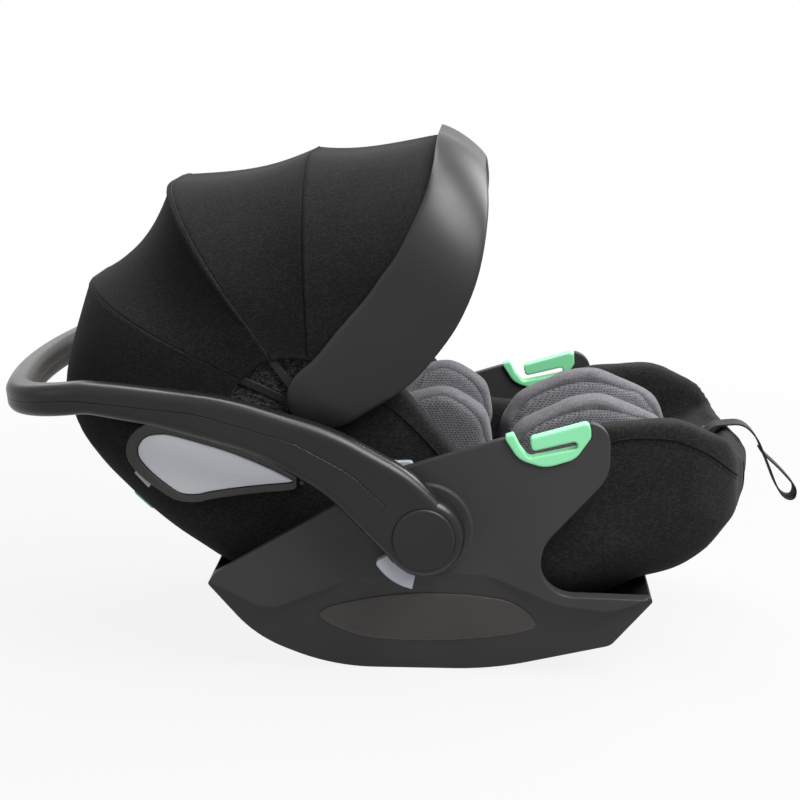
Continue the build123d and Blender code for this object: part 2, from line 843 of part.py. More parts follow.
tongue_outer = strap_outer - 1
tongue = swing_band(
    tongue_outer - tongue_thickness, tongue_outer, *tongue_angles, tongue_near, tongue_width
)
write_pair(tongue, "buckle_tongue")

hip_strap_near = strap_near + strap_width
hip_strap = swing_band(
    strap_inner, strap_outer, *hip_strap_angles, hip_strap_near, bolster_near - soft_gap - hip_strap_near
)
write_pair(hip_strap, "hip_strap")

with BuildPart() as buckle_body:
    buckle_inner = strap_outer - buckle_thickness
    add(swing_band(buckle_inner, strap_outer, *buckle_angles, -buckle_half_width, 2 * buckle_half_width))
    tongue_slot = swing_band(
        tongue_outer - tongue_thickness - pin_gap, tongue_outer + pin_gap, tongue_angles[0],
        tongue_angles[1] + 0.1, tongue_near - pin_gap, tongue_width + 2 * pin_gap,
    )
    add(tongue_slot, mode=Mode.SUBTRACT)
    mirror(tongue_slot, about=Plane.XZ, mode=Mode.SUBTRACT)
    button_floor = buckle_inner + buckle_button_depth + buckle_button_travel + running_gap
    add(
        swing_band(
            buckle_inner - pad_edge, button_floor, buckle_button_angles[0] - 0.1, buckle_button_angles[1] + 0.1,
            -buckle_button_half_width - running_gap, 2 * (buckle_button_half_width + running_gap),
        ),
        mode=Mode.SUBTRACT,
    )
write(buckle_body.part, "buckle_body")

buckle_button = swing_band(
    buckle_inner - buckle_button_rise, buckle_inner + buckle_button_depth, *buckle_button_angles,
    -buckle_button_half_width, 2 * buckle_button_half_width,
)
write(buckle_button, "buckle_button")

crotch_strap = swing_band(
    strap_inner, strap_outer, buckle_angles[1], crotch_strap_end, -crotch_strap_half_width,
    2 * crotch_strap_half_width,
)
write(crotch_strap, "crotch_strap")

with BuildPart() as crotch_pad:
    add(
        swing_band(
            strap_inner - soft_gap - pad_thickness, strap_inner - soft_gap, *crotch_pad_angles,
            -crotch_pad_half_width, 2 * crotch_pad_half_width,
        )
    )
    fillet(crotch_pad.edges(), pad_edge)
write(crotch_pad.part, "crotch_pad")


def bend_radii(route):
    # Each bend is as wide as its two runs allow
    points = [Vector(*place) for place in route]
    radii = []
    for before, corner, after in zip(points, points[1:], points[2:]):
        turn = (corner - before).get_angle(after - corner)
        run = min((corner - before).length, (after - corner).length)
        radii.append(0.45 * run / tan(radians(turn / 2)))
    return radii


def webbing(route, half_width, thickness):
    # A flat strap that follows a side view route
    with BuildPart() as strap:
        with BuildSketch(Plane.XZ):
            with BuildLine():
                line = FilletPolyline(*route, radius=bend_radii(route))
            trace(line, thickness)
        extrude(amount=half_width, both=True)
    return strap.part


for name, route in (("adjuster_strap", pull_strap_route), ("adjuster_strap_loop", pull_loop_route)):
    print(name, "bends, mm:", [round(radius, 1) for radius in bend_radii(route)])
    write(webbing(route, pull_strap_half_width, strap_thickness), name)

strap_mouth = webbing(pull_strap_route, pull_strap_half_width + soft_gap, strap_thickness + 2 * soft_gap)

# Harness adjuster: a housing on the leg rest with a press button and the mouth of the pull strap
pocket_floor = adjuster_button_floor - adjuster_button_travel - running_gap

with BuildPart() as adjuster_housing:
    with BuildSketch(Plane.XZ):
        Polygon(
            pan_point(adjuster_span[0], soft_gap),
            pan_point(adjuster_span[1], soft_gap),
            pan_point(adjuster_span[1], adjuster_height - adjuster_slope),
            pan_point(adjuster_span[1] - 2 * adjuster_slope, adjuster_height),
            pan_point(adjuster_span[0] + 2 * adjuster_slope, adjuster_height),
            pan_point(adjuster_span[0], adjuster_height - adjuster_slope),
            align=None,
        )
    extrude(amount=adjuster_half_width, both=True)
    with BuildSketch(Plane.XZ):
        Polygon(
            pan_point(adjuster_button_span[0] - running_gap, pocket_floor),
            pan_point(adjuster_button_span[1] + running_gap, pocket_floor),
            pan_point(adjuster_button_span[1] + running_gap, 2 * adjuster_height),
            pan_point(adjuster_button_span[0] - running_gap, 2 * adjuster_height),
            align=None,
        )
    extrude(amount=adjuster_button_half_width + running_gap, both=True, mode=Mode.SUBTRACT)
    add(strap_mouth, mode=Mode.SUBTRACT)
write(adjuster_housing.part, "adjuster_housing")

with BuildPart() as adjuster_button:
    with BuildSketch(Plane.XZ):
        Polygon(
            pan_point(adjuster_button_span[0], adjuster_button_floor),
            pan_point(adjuster_button_span[1], adjuster_button_floor),
            pan_point(adjuster_button_span[1], adjuster_height + adjuster_button_rise),
            pan_point(adjuster_button_span[0], adjuster_height + adjuster_button_rise),
            align=None,
        )
    extrude(amount=adjuster_button_half_width, both=True)
write(adjuster_button.part, "adjuster_button")

# Belt guides behind the head end: a loop on either side of the shell's back
with BuildPart() as rear_belt_guide:
    out = Vector(sin(radians(rear_guide_angle)), 0, -cos(radians(rear_guide_angle)))
    foot_place = swing_point(bucket_radius, rear_guide_angle)
    guide_foot = (foot_place[0], -rear_guide_near, foot_place[1])
    guide_plane = Plane(guide_foot, x_dir=(out.Z, 0, -out.X), z_dir=(0, -1, 0))
    with BuildSketch(guide_plane):
        with Locations((0, rear_guide_size[1] / 2 - rear_guide_sink)):
            RectangleRounded(*rear_guide_size, rear_guide_bar)
            RectangleRounded(
                rear_guide_size[0] - 2 * rear_guide_bar, rear_guide_size[1] - 2 * rear_guide_bar, 2.5,
                mode=Mode.SUBTRACT,
            )
    extrude(amount=rear_guide_width)
    add(trough(bucket_radius, bucket_half_width, bucket_corner), mode=Mode.SUBTRACT)
write_pair(rear_belt_guide.part, "rear_belt_guide")

# Canopy: pivot pins, bows, panels and visor
bow_layers = [bow_first_layer + bow_layer_pitch * index for index in range(len(bow_angles))]
visor_boss_near = bow_layers[-1] + bow_layer_pitch - bow_thickness
visor_wall_near = visor_half_width - visor_thickness
pivot_length = visor_wall_near - running_gap - bucket_half_width
pivot_base_height = bow_layers[0] - bow_thickness - running_gap - bucket_half_width

with BuildPart() as canopy_pivot:
    add(side_disc(pivot_x, pivot_z, pivot_radius, bucket_half_width, pivot_length))
    add(side_disc(pivot_x, pivot_z, pivot_base_radius, bucket_half_width, pivot_base_height))
write_pair(canopy_pivot.part, "canopy_pivot")


def arch(half_width, reach, corner, thickness, foot):
    # A U-shaped strip, open at its foot
    clear = half_width - thickness
    with BuildSketch() as strip:
        with BuildLine():
            outside = FilletPolyline(
                (-half_width, foot), (-half_width, reach), (half_width, reach), (half_width, foot), radius=corner
            )
            inside = FilletPolyline(
                (-clear, foot), (-clear, reach - thickness), (clear, reach - thickness), (clear, foot),
                radius=corner - thickness,
            )
            Line(outside @ 0, inside @ 0)
            Line(outside @ 1, inside @ 1)
        make_face()
    return strip.sketch


for number, (angle, reach, layer) in enumerate(zip(bow_angles, bow_reach, bow_layers), start=1):
    bow_eye = side_disc(pivot_x, pivot_z, bow_eye_radius, layer - bow_thickness, bow_thickness)
    bow_bore = side_disc(pivot_x, pivot_z, pivot_radius + pin_gap, layer - 2 * bow_thickness, 4 * bow_thickness)
    with BuildPart() as canopy_bow:
        with BuildSketch(canopy_plane(angle)):
            add(arch(layer, reach, bow_corner, bow_thickness, 0))
        extrude(amount=bow_width / 2, both=True)
        add(bow_eye)
        mirror(bow_eye, about=Plane.XZ)
        add(bow_bore, mode=Mode.SUBTRACT)
        mirror(bow_bore, about=Plane.XZ, mode=Mode.SUBTRACT)
    write(canopy_bow.part, f"canopy_bow_{number}")

# Panels lie over the bows, flat for the width of a bow and sagging between
panel_lift = soft_gap + panel_thickness
panel_angles = [*bow_angles, visor_back_angle]
panel_reach = [*(reach + panel_lift for reach in bow_reach), visor_back_reach]
panel_widths = [layer + panel_lift for layer in bow_layers]
visor_clear_width = visor_half_width - visor_thickness - soft_gap


def panel(sections):
    with BuildPart() as cloth:
        for angle, half_width, reach, corner in sections:
            with BuildSketch(canopy_plane(angle)):
                add(arch(half_width, reach, corner, panel_thickness, panel_foot))
        loft(ruled=True)
    return cloth.part


rear_sections = [
    (bow_angles[0] + panel_split, panel_widths[0], panel_reach[0], bow_corner),
    (bow_angles[0] + panel_flat, panel_widths[0], panel_reach[0], bow_corner),
]
for angle, reach, corner in zip(rear_panel_angles, rear_panel_reach, rear_panel_corners):
    rear_sections.append((angle, panel_widths[0], reach, corner))
write(panel(rear_sections), "canopy_panel_1")

back_widths = [panel_widths[1], panel_widths[2], panel_widths[2]]
front_widths = [panel_widths[1], panel_widths[2], visor_clear_width]
for index, sag in enumerate(panel_sag):
    back, front = panel_angles[index : index + 2]
    back_reach, front_reach = panel_reach[index : index + 2]
    back_width, front_width = back_widths[index], front_widths[index]
    middle = ((back + front) / 2, (back_width + front_width) / 2, (back_reach + front_reach) / 2 - sag)
    sections = [
        (back - panel_split, back_width, back_reach, bow_corner),
        (back - panel_flat, back_width, back_reach, bow_corner),
        (*middle, bow_corner),
        (front + panel_flat, front_width, front_reach, bow_corner),
        (front + panel_split, front_width, front_reach, bow_corner),
    ]
    if front == visor_back_angle:
        sections.append((visor_under_angle, front_width, visor_under_reach, bow_corner))
    write(panel(sections), f"canopy_panel_{index + 2}")

visor_run = (Vector(*visor_tip_front) - Vector(*visor_tip_back)).normalized()
visor_rise = Vector(-visor_run.Y, visor_run.X)
visor_reach = Vector(*visor_tip_back).dot(visor_rise)
visor_plane = Plane((0, 0, 0), x_dir=(0, 1, 0), z_dir=(visor_run.X, 0, visor_run.Y))

with BuildPart() as canopy_visor:
    with BuildSketch(Plane.XZ):
        with BuildLine():
            end_arc = CenterArc(visor_end_centre, visor_end_radius, 145, 165)
            front_edge = Spline(visor_tip_front, *visor_front, end_arc @ 1)
            back_edge = Spline(end_arc @ 0, *reversed(visor_back), visor_tip_back)
            Line(back_edge @ 1, front_edge @ 0)
        make_face()
    extrude(amount=visor_half_width, both=True)
    with BuildSketch(visor_plane):
        add(arch(visor_half_width, visor_reach, visor_corner, visor_thickness, 0))
    extrude(amount=2 * visor_reach, both=True, mode=Mode.INTERSECT)
    visor_boss = side_disc(pivot_x, pivot_z, visor_boss_radius, visor_boss_near, visor_wall_near - visor_boss_near)
    visor_bore = side_disc(
        pivot_x, pivot_z, pivot_radius + pin_gap, visor_boss_near, visor_wall_near - visor_boss_near
    )
    add(visor_boss)
    mirror(visor_boss, about=Plane.XZ)
    add(visor_bore, mode=Mode.SUBTRACT)
    mirror(visor_bore, about=Plane.XZ, mode=Mode.SUBTRACT)
write(canopy_visor.part, "canopy_visor")

# Side impact flaps: a frame with a pale inlay, on an upright pin between two ears
flap_pin_y = -flap_near - flap_thickness / 2
flap_far = flap_near + flap_thickness
flap_core = side_prism(flap_inlay, flap_inlay_radii, flap_far - flap_panel_recess - flap_panel_thickness, 20)

with BuildPart() as flap_frame:
    add(side_prism(flap_outline, flap_radii, flap_near, flap_thickness))
    fillet(flap_frame.edges().group_by(Axis.Y)[0], flap_edge_radius)
    add(flap_core, mode=Mode.SUBTRACT)
    with Locations((flap_pin_x, flap_pin_y, flap_pin_z)):
        Cylinder(flap_barrel_radius, flap_barrel_height)
        Cylinder(flap_pin_radius + pin_gap, 4 * flap_barrel_height, mode=Mode.SUBTRACT)
    for level in (1, -1):
        with Locations((flap_pin_x, flap_pin_y, flap_pin_z + level * flap_barrel_height)):
            Box(
                2 * (flap_barrel_radius + running_gap + 1), 4 * flap_thickness, flap_barrel_height,
                mode=Mode.SUBTRACT,
            )
write_pair(flap_frame.part, "flap_frame")

flap_panel = side_prism(
    flap_inlay, flap_inlay_radii, flap_far - flap_panel_recess - flap_panel_thickness, flap_panel_thickness
)
write_pair(flap_panel, "flap_panel")

with BuildPart() as flap_hinge:
    ear_gap = flap_barrel_height / 2 + running_gap
    for level in (1, -1):
        ear_z = flap_pin_z + level * (ear_gap + flap_ear_height / 2)
        with Locations((flap_pin_x, flap_pin_y, ear_z)):
            Cylinder(flap_barrel_radius, flap_ear_height)
        with Locations((flap_pin_x, (flap_pin_y - bucket_half_width) / 2, ear_z)):
            Box(2 * flap_barrel_radius, -flap_pin_y - bucket_half_width, flap_ear_height)
    with Locations((flap_pin_x, flap_pin_y, flap_pin_z)):
        Cylinder(flap_pin_radius, 2 * ear_gap)
write_pair(flap_hinge.part, "flap_hinge")

# Flap catches: a tab behind the lower edge of each flap
with BuildPart() as flap_tab:
    with BuildSketch(Plane.XZ.offset(bucket_half_width + soft_gap)):
        with Locations(Location((*flap_tab_place, 0), (0, 0, flap_tab_angle))):
            RectangleRounded(flap_tab_length, flap_tab_width, flap_tab_width / 4)
    extrude(amount=flap_tab_thickness)
write_pair(flap_tab.part, "flap_tab")
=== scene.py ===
from math import cos, pi, radians, sin

import bmesh
import bpy
import numpy as np
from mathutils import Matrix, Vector
from mathutils.bvhtree import BVHTree


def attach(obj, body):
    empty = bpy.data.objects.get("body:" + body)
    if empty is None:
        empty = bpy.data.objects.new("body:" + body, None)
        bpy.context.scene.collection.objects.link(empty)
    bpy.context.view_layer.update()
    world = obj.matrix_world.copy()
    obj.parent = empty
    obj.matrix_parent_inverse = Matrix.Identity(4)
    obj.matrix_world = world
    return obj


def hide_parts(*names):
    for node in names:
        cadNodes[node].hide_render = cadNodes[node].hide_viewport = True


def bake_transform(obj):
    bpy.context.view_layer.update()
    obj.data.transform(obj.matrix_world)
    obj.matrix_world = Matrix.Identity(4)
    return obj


# Infant car seat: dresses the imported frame. The scene is in metres, outlines and arches are in millimetres.
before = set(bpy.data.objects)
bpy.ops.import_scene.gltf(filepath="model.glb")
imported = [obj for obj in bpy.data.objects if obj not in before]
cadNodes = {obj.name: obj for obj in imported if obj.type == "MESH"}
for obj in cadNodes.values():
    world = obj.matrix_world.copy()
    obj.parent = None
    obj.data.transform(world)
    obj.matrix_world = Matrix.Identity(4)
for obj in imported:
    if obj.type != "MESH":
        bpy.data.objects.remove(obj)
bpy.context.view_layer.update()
scene = bpy.context.scene
print("frame loaded with", len(cadNodes), "nodes")


# camera, lamps, floor
studio = {
    "cameraPlace": (0.11098, -1.85142, 0.66362),
    "lookDown": 12.656,
    "turn": 2.921,
    "lens": 79.155,
    "sensor": 36,
    "clipEnd": 100,
    "roomLevel": 0.17,
    "floorSize": 14.0,
    "floorTone": 0.34,
    "floorShade": (0.7, 1.7),
    "floorGlow": (0.88, 1.0),
    "floorDrop": 0.0005,
    "lamps": {
        "keySoftbox": {"place": (1.6, -1.3, 2.5), "aim": (0, 0, 0.25), "size": (1.6, 1.6), "power": 112},
        "fillSoftbox": {"place": (-1.9, -1.9, 1.3), "aim": (0, 0, 0.3), "size": (1.5, 1.5), "power": 6},
        "topStrip": {"place": (0.15, 0.15, 2.1), "aim": (0, 0, 0.3), "size": (2.6, 0.7), "power": 48},
        "rimSoftbox": {"place": (1.7, 1.2, 1.5), "aim": (0.05, 0, 0.25), "size": (1.4, 1.0), "power": 44},
        "backStrip": {"place": (-1.3, 1.8, 1.5), "aim": (0, 0, 0.35), "size": (1.6, 0.6), "power": 9},
    },
}


def buildStudio():
    lens = bpy.data.cameras.new("photoCamera")
    lens.lens = studio["lens"]
    lens.sensor_width = studio["sensor"]
    lens.clip_end = studio["clipEnd"]
    eye = placeObject("photoCamera", lens)
    eye.location = studio["cameraPlace"]
    eye.rotation_euler = (pi / 2 - radians(studio["lookDown"]), 0, radians(studio["turn"]))
    scene.camera = eye
    for name, lamp in studio["lamps"].items():
        light = bpy.data.lights.new(name, "AREA")
        light.shape = "RECTANGLE"
        light.size, light.size_y = lamp["size"]
        light.energy = lamp["power"]
        holder = placeObject(name, light)
        holder.location = lamp["place"]
        aim = Vector(lamp["aim"]) - Vector(lamp["place"])
        holder.rotation_euler = aim.to_track_quat("-Z", "Y").to_euler()
    scene.view_settings.view_transform = "Standard"

    # white where the camera, gloss or glass looks, an even grey level for the rest
    room = bpy.data.worlds.new("whiteRoom")
    scene.world = room
    tree = emptyTree(room)
    level, white = (
        addNode(tree, "ShaderNodeBackground", {"Color": grey(1), "Strength": strength}).outputs[0]
        for strength in (studio["roomLevel"], 1.0)
    )
    mixInto(tree, "ShaderNodeOutputWorld", seenDirectly(tree), level, white)

    half = studio["floorSize"] / 2
    floor = meshPiece("floor", [(-half, -half, 0), (half, -half, 0), (half, half, 0), (-half, half, 0)], [(0, 1, 2, 3)])
    paper = bpy.data.materials.new("whitePaper")
    tree = emptyTree(paper)
    matt = addNode(tree, "ShaderNodeBsdfDiffuse", {"Color": grey(studio["floorTone"])}).outputs[0]
    glow = addNode(tree, "ShaderNodeEmission").outputs[0]
    # the paper keeps a soft shadow near the object and goes plain white away from it
    far = addNode(tree, "ShaderNodeVectorMath", {0: objectPlace(tree)}, operation="LENGTH").outputs["Value"]
    shown = times(tree, seenDirectly(tree), spread(tree, far, *studio["floorShade"], *studio["floorGlow"]))
    mixInto(tree, "ShaderNodeOutputMaterial", shown, matt, glow)
    wear(floor, paper)
    floor.location.z = -studio["floorDrop"]
    print("studio built")


def emptyTree(owner):
    owner.use_nodes = True
    owner.node_tree.nodes.clear()
    return owner.node_tree


def mixInto(tree, end, factor, low, high):
    mix = addNode(tree, "ShaderNodeMixShader", {0: factor, 1: low, 2: high})
    addNode(tree, end, {0: mix.outputs[0]})


def seenDirectly(tree):
    rays = addNode(tree, "ShaderNodeLightPath").outputs
    gloss = mathNode(tree, "MAXIMUM", rays["Is Camera Ray"], rays["Is Glossy Ray"])
    return mathNode(tree, "MAXIMUM", gloss, rays["Is Transmission Ray"])


# mesh helpers
def metres(*numbers):
    return tuple(number * 0.001 for number in numbers)


def between(a, b, share):
    return a + (b - a) * share


def ramp(values, start, run):
    return np.clip((values - start) / run, 0, 1)


def placeObject(name, data):
    made = bpy.data.objects.new(name, data)
    scene.collection.objects.link(made)
    return made


def smoothed(piece):
    piece.data.polygons.foreach_set("use_smooth", [True] * len(piece.data.polygons))
    return piece


def meshPiece(name, points, faces, edges=()):
    mesh = bpy.data.meshes.new(name)
    mesh.from_pydata([tuple(p) for p in points], list(edges), [tuple(f) for f in faces])
    mesh.update()
    return placeObject(name, mesh)


def gridPiece(name, rows):
    # rows of equal length, joined as quads
    count = len(rows[0])
    points = [p for row in rows for p in row]
    faces = []
    for i in range(len(rows) - 1):
        for j in range(count - 1):
            a = i * count + j
            faces.append((a, a + 1, a + count + 1, a + count))
    return smoothed(meshPiece(name, points, faces))


def loopFaces(loops, count, closed=False):
    # quads between closed loops of points
    faces = []
    for i in range(loops if closed else loops - 1):
        a, b = i * count, (i + 1) % loops * count
        for j in range(count):
            k = (j + 1) % count
            faces.append((a + j, a + k, b + k, b + j))
    return faces


def fanFaces(start, count, tip):
    return [(start + j, start + (j + 1) % count, tip) for j in range(count)]


def addModifier(piece, name, kind, **settings):
    tool = piece.modifiers.new(name, kind)
    for label, value in settings.items():
        setattr(tool, label, value)
    return tool


def bake(piece):
    # modifiers become the mesh
    shaped = piece.evaluated_get(bpy.context.evaluated_depsgraph_get())
    mesh = bpy.data.meshes.new_from_object(shaped)
    piece.modifiers.clear()
    old = piece.data
    piece.data = mesh
    mesh.name = piece.name
    bpy.data.meshes.remove(old)
    return piece


def outward(piece):
    work = bmesh.new()
    work.from_mesh(piece.data)
    bmesh.ops.remove_doubles(work, verts=work.verts, dist=1e-6)
    bmesh.ops.recalc_face_normals(work, faces=work.faces)
    work.to_mesh(piece.data)
    work.free()
    piece.data.update()
    return piece


def roundEdges(piece, width, sharpest):
    addModifier(
        piece, "edge", "BEVEL", width=width, segments=3, limit_method="ANGLE", angle_limit=radians(sharpest)
    )


def thicken(piece, thickness, edge=0.0, offset=0.0):
    addModifier(piece, "wall", "SOLIDIFY", thickness=thickness, offset=offset, use_even_offset=False)
    if edge:
        roundEdges(piece, edge, 50)
    return outward(smoothed(bake(piece)))


def softEdges(piece, width):
    roundEdges(outward(piece), width, 40)
    return smoothed(bake(piece))


def easeSkin(piece, rounds):
    addModifier(piece, "ease", "SMOOTH", factor=0.5, iterations=rounds)
    return smoothed(bake(piece))


def smoothPath(corners, per=8, closed=False):
    # even curve through the corners
    pts = [np.array(c, float) for c in corners]
    count = len(pts)
    path = []
    for i in range(count if closed else count - 1):
        if closed:
            p0, p1, p2, p3 = (pts[(i + k - 1) % count] for k in range(4))
        else:
            p0, p1, p2, p3 = pts[max(i - 1, 0)], pts[i], pts[i + 1], pts[min(i + 2, count - 1)]
        bend = 2 * p0 - 5 * p1 + 4 * p2 - p3
        twist = 3 * p1 - p0 - 3 * p2 + p3
        for k in range(per):
            t = k / per
            path.append(0.5 * (2 * p1 + (p2 - p0) * t + bend * t * t + twist * t ** 3))
    if not closed:
        path.append(pts[-1])
    return path


def wear(piece, *materials):
    piece.data.materials.clear()
    for material in materials:
        piece.data.materials.append(material)


def dress(piece, finish, slotName, body, *nodes):
    # finish, slot (the slot is not used), the body it rides on and the nodes it stands for
    wear(piece, paint[finish])
    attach(piece, body)
    if nodes:
        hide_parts(*nodes)
    return piece


# node helpers
def feed(tree, sockets, feeds):
    # a socket is linked, a plain value is set, and a colour gets its alpha
    for label, value in feeds.items():
        if isinstance(value, bpy.types.NodeSocket):
            tree.links.new(value, sockets[label])
        elif sockets[label].type == "RGBA":
            sockets[label].default_value = (*value, 1)
        else:
            sockets[label].default_value = value


def addNode(tree, kind, feeds=None, **settings):
    node = tree.nodes.new(kind)
    for label, value in settings.items():
        setattr(node, label, value)
    feed(tree, node.inputs, feeds or {})
    return node


def mathNode(tree, operation, *values):
    return addNode(tree, "ShaderNodeMath", dict(enumerate(values)), operation=operation).outputs[0]


def times(tree, a, b):
    return mathNode(tree, "MULTIPLY", a, b)


def spread(tree, value, low, high, toLow=0.0, toHigh=1.0):
    feeds = {"Value": value, "From Min": low, "From Max": high, "To Min": toLow, "To Max": toHigh}
    return addNode(tree, "ShaderNodeMapRange", feeds, interpolation_type="SMOOTHSTEP").outputs[0]


def objectPlace(tree):
    return addNode(tree, "ShaderNodeTexCoord").outputs["Object"]


def axes(tree, vector):
    return addNode(tree, "ShaderNodeSeparateXYZ", {0: vector}).outputs


def noise(tree, place, scale, detail):
    return addNode(tree, "ShaderNodeTexNoise", {"Vector": place, "Scale": scale, "Detail": detail}).outputs[0]


def colourMix(tree, factor, low, high, blend="MIX"):
    feeds = {0: factor, 6: low, 7: high}
    return addNode(tree, "ShaderNodeMix", feeds, data_type="RGBA", blend_type=blend).outputs[2]


def bump(tree, shader, height, strength, distance, **normal):
    feeds = {"Height": height, "Strength": strength, "Distance": distance, **normal}
    feed(tree, shader, {"Normal": addNode(tree, "ShaderNodeBump", feeds).outputs[0]})


def grey(level):
    return (level, level, level)


def greys(dark, light):
    return grey(dark), grey(light)


# shader groups shared by the finishes
def shaderGroup(name, inputs, outputs):
    group = bpy.data.node_groups.new(name, "ShaderNodeTree")
    for label, value in inputs.items():
        group.interface.new_socket(label, in_out="INPUT", socket_type="NodeSocketFloat").default_value = value
    for label, kind in outputs.items():
        group.interface.new_socket(label, in_out="OUTPUT", socket_type=kind)
    return group, addNode(group, "NodeGroupInput").outputs, addNode(group, "NodeGroupOutput").inputs


def buildGrain():
    # moulded plastic: fine spark-eroded grain and slow cloudy tone
    kinds = dict.fromkeys(("Height", "Tone"), "NodeSocketFloat")
    group, entry, end = shaderGroup("mouldedGrain", {"Grain": 1400.0, "Cloud": 9.0}, kinds)
    place = objectPlace(group)
    cloud = noise(group, place, entry["Cloud"], 4)
    feed(group, end, {"Height": noise(group, place, entry["Grain"], 2), "Tone": spread(group, cloud, 0.3, 0.7)})
    return group


def buildYarn():
    # knitted cloth: small loops in rows, with lighter and darker threads
    kinds = dict.fromkeys(("Height", "Thread", "Tone"), "NodeSocketFloat")
    group, entry, end = shaderGroup("knittedYarn", {"Pitch": 700.0, "Stretch": 0.55}, kinds)
    place = objectPlace(group)
    side = addNode(group, "ShaderNodeCombineXYZ", {"X": entry["Stretch"], "Y": 1, "Z": 1}).outputs[0]
    long = addNode(group, "ShaderNodeVectorMath", {0: place, 1: side}, operation="MULTIPLY").outputs[0]
    feeds = {"Vector": long, "Scale": entry["Pitch"], "Randomness": 0.55}
    loops = addNode(group, "ShaderNodeTexVoronoi", feeds).outputs
    shades = {
        "Height": spread(group, loops["Distance"], 0.0, 0.6, 1.0, 0.0),
        "Thread": addNode(group, "ShaderNodeSeparateColor", {0: loops["Color"]}).outputs[0],
        "Tone": spread(group, noise(group, place, 26, 5), 0.3, 0.7),
    }
    feed(group, end, shades)
    return group


def buildEdge():
    # rounds the look of an edge and marks it; plastic() lightens the colour under the mask as a painted highlight and
    # makes the edge glossier
    kinds = {"Mask": "NodeSocketFloat", "Normal": "NodeSocketVector"}
    group, entry, end = shaderGroup("highlightedEdge", {"Radius": 0.002}, kinds)
    soft = addNode(group, "ShaderNodeBevel", {"Radius": entry["Radius"]}, samples=6).outputs[0]
    flat = addNode(group, "ShaderNodeNewGeometry").outputs["Normal"]
    dot = addNode(group, "ShaderNodeVectorMath", {0: soft, 1: flat}, operation="DOT_PRODUCT").outputs["Value"]
    feed(group, end, {"Mask": spread(group, dot, 0.7, 0.985, 1.0, 0.0), "Normal": soft})
    return group


grainGroup = buildGrain()
yarnGroup = buildYarn()
edgeGroup = buildEdge()


def placeGroup(tree, group, **values):
    return addNode(tree, "ShaderNodeGroup", values, node_tree=group).outputs


def finishOf(name, roughness, specular):
    material = bpy.data.materials.new(name)
    material.use_nodes = True
    tree = material.node_tree
    shader = tree.nodes["Principled BSDF"].inputs
    feed(tree, shader, {"Roughness": roughness, "Specular IOR Level": specular})
    return material, tree, shader


# wear is the strength of the painted highlight that lightens the edges, and its share is how much of it shows
moulded = {"specular": 0.45, "grain": 1400.0, "edge": 0.0022, "wear": 1.35, "edgeHighlightShare": 0.6, "relief": 0.12}
moulded |= {"glossSwing": 0.04, "rubbed": -0.12, "reliefDepth": 0.0003}
# in cloth, dip is painted shade: the colour darkens to this share in the hollows between the yarn loops
woven = {"rough": 0.92, "specular": 0.18, "pitch": 700.0, "stretch": 0.55, "threadEdge": (0.25, 0.8), "patch": 0.82}
woven |= {"dip": 0.7, "sheen": 0.03, "sheenRough": 0.5, "relief": 0.5, "reliefDepth": 0.0006}


def plastic(name, look):
    # moulded plastic with grain, cloudy tone, and edges lightened as a painted highlight and made glossier
    look = {**moulded, **look}
    dark, light = look["tones"]
    material, tree, shader = finishOf(name, look["rough"], look["specular"])
    grain = placeGroup(tree, grainGroup, Grain=look["grain"])
    edge = placeGroup(tree, edgeGroup, Radius=look["edge"])
    body = colourMix(tree, grain["Tone"], dark, light)
    # painted highlight: under the edge mask the colour goes towards the light tone times wear
    edgeHighlightTone = tuple(min(1.0, c * look["wear"]) for c in light)
    shown = colourMix(tree, times(tree, edge["Mask"], look["edgeHighlightShare"]), body, edgeHighlightTone)
    dull, bright = look["rough"] + look["glossSwing"], look["rough"] - look["glossSwing"]
    gloss = spread(tree, grain["Tone"], 0.0, 1.0, dull, bright)
    rubbed = mathNode(tree, "MULTIPLY_ADD", edge["Mask"], look["rubbed"], gloss)
    feed(tree, shader, {"Base Color": shown, "Roughness": rubbed})
    bump(tree, shader, grain["Height"], look["relief"], look["reliefDepth"], Normal=edge["Normal"])
    return material, tree, shader


def cloth(name, look):
    # knitted or woven cloth; light and dark threads, patchy tone, painted shade in the hollows between the loops, soft
    # sheen
    look = {**woven, **look}
    material, tree, shader = finishOf(name, look["rough"], look["specular"])
    yarn = placeGroup(tree, yarnGroup, Pitch=look["pitch"], Stretch=look["stretch"])
    threads = colourMix(tree, spread(tree, yarn["Thread"], *look["threadEdge"]), *look["tones"])
    shade = spread(tree, yarn["Tone"], 0.0, 1.0, look["patch"], 1.0)
    # painted shade: the colour darkens in the low parts of the yarn, between the loops
    dip = spread(tree, yarn["Height"], 0.0, 1.0, look["dip"], 1.0)
    feeds = {
        "Base Color": colourMix(tree, 1.0, threads, times(tree, shade, dip), "MULTIPLY"),
        "Roughness": spread(tree, yarn["Thread"], 0.0, 1.0, look["rough"] - 0.05, 1.0),
        "Sheen Weight": look["sheen"],
        "Sheen Roughness": look["sheenRough"],
    }
    feed(tree, shader, feeds)
    bump(tree, shader, yarn["Height"], look["relief"], look["reliefDepth"])
    return material
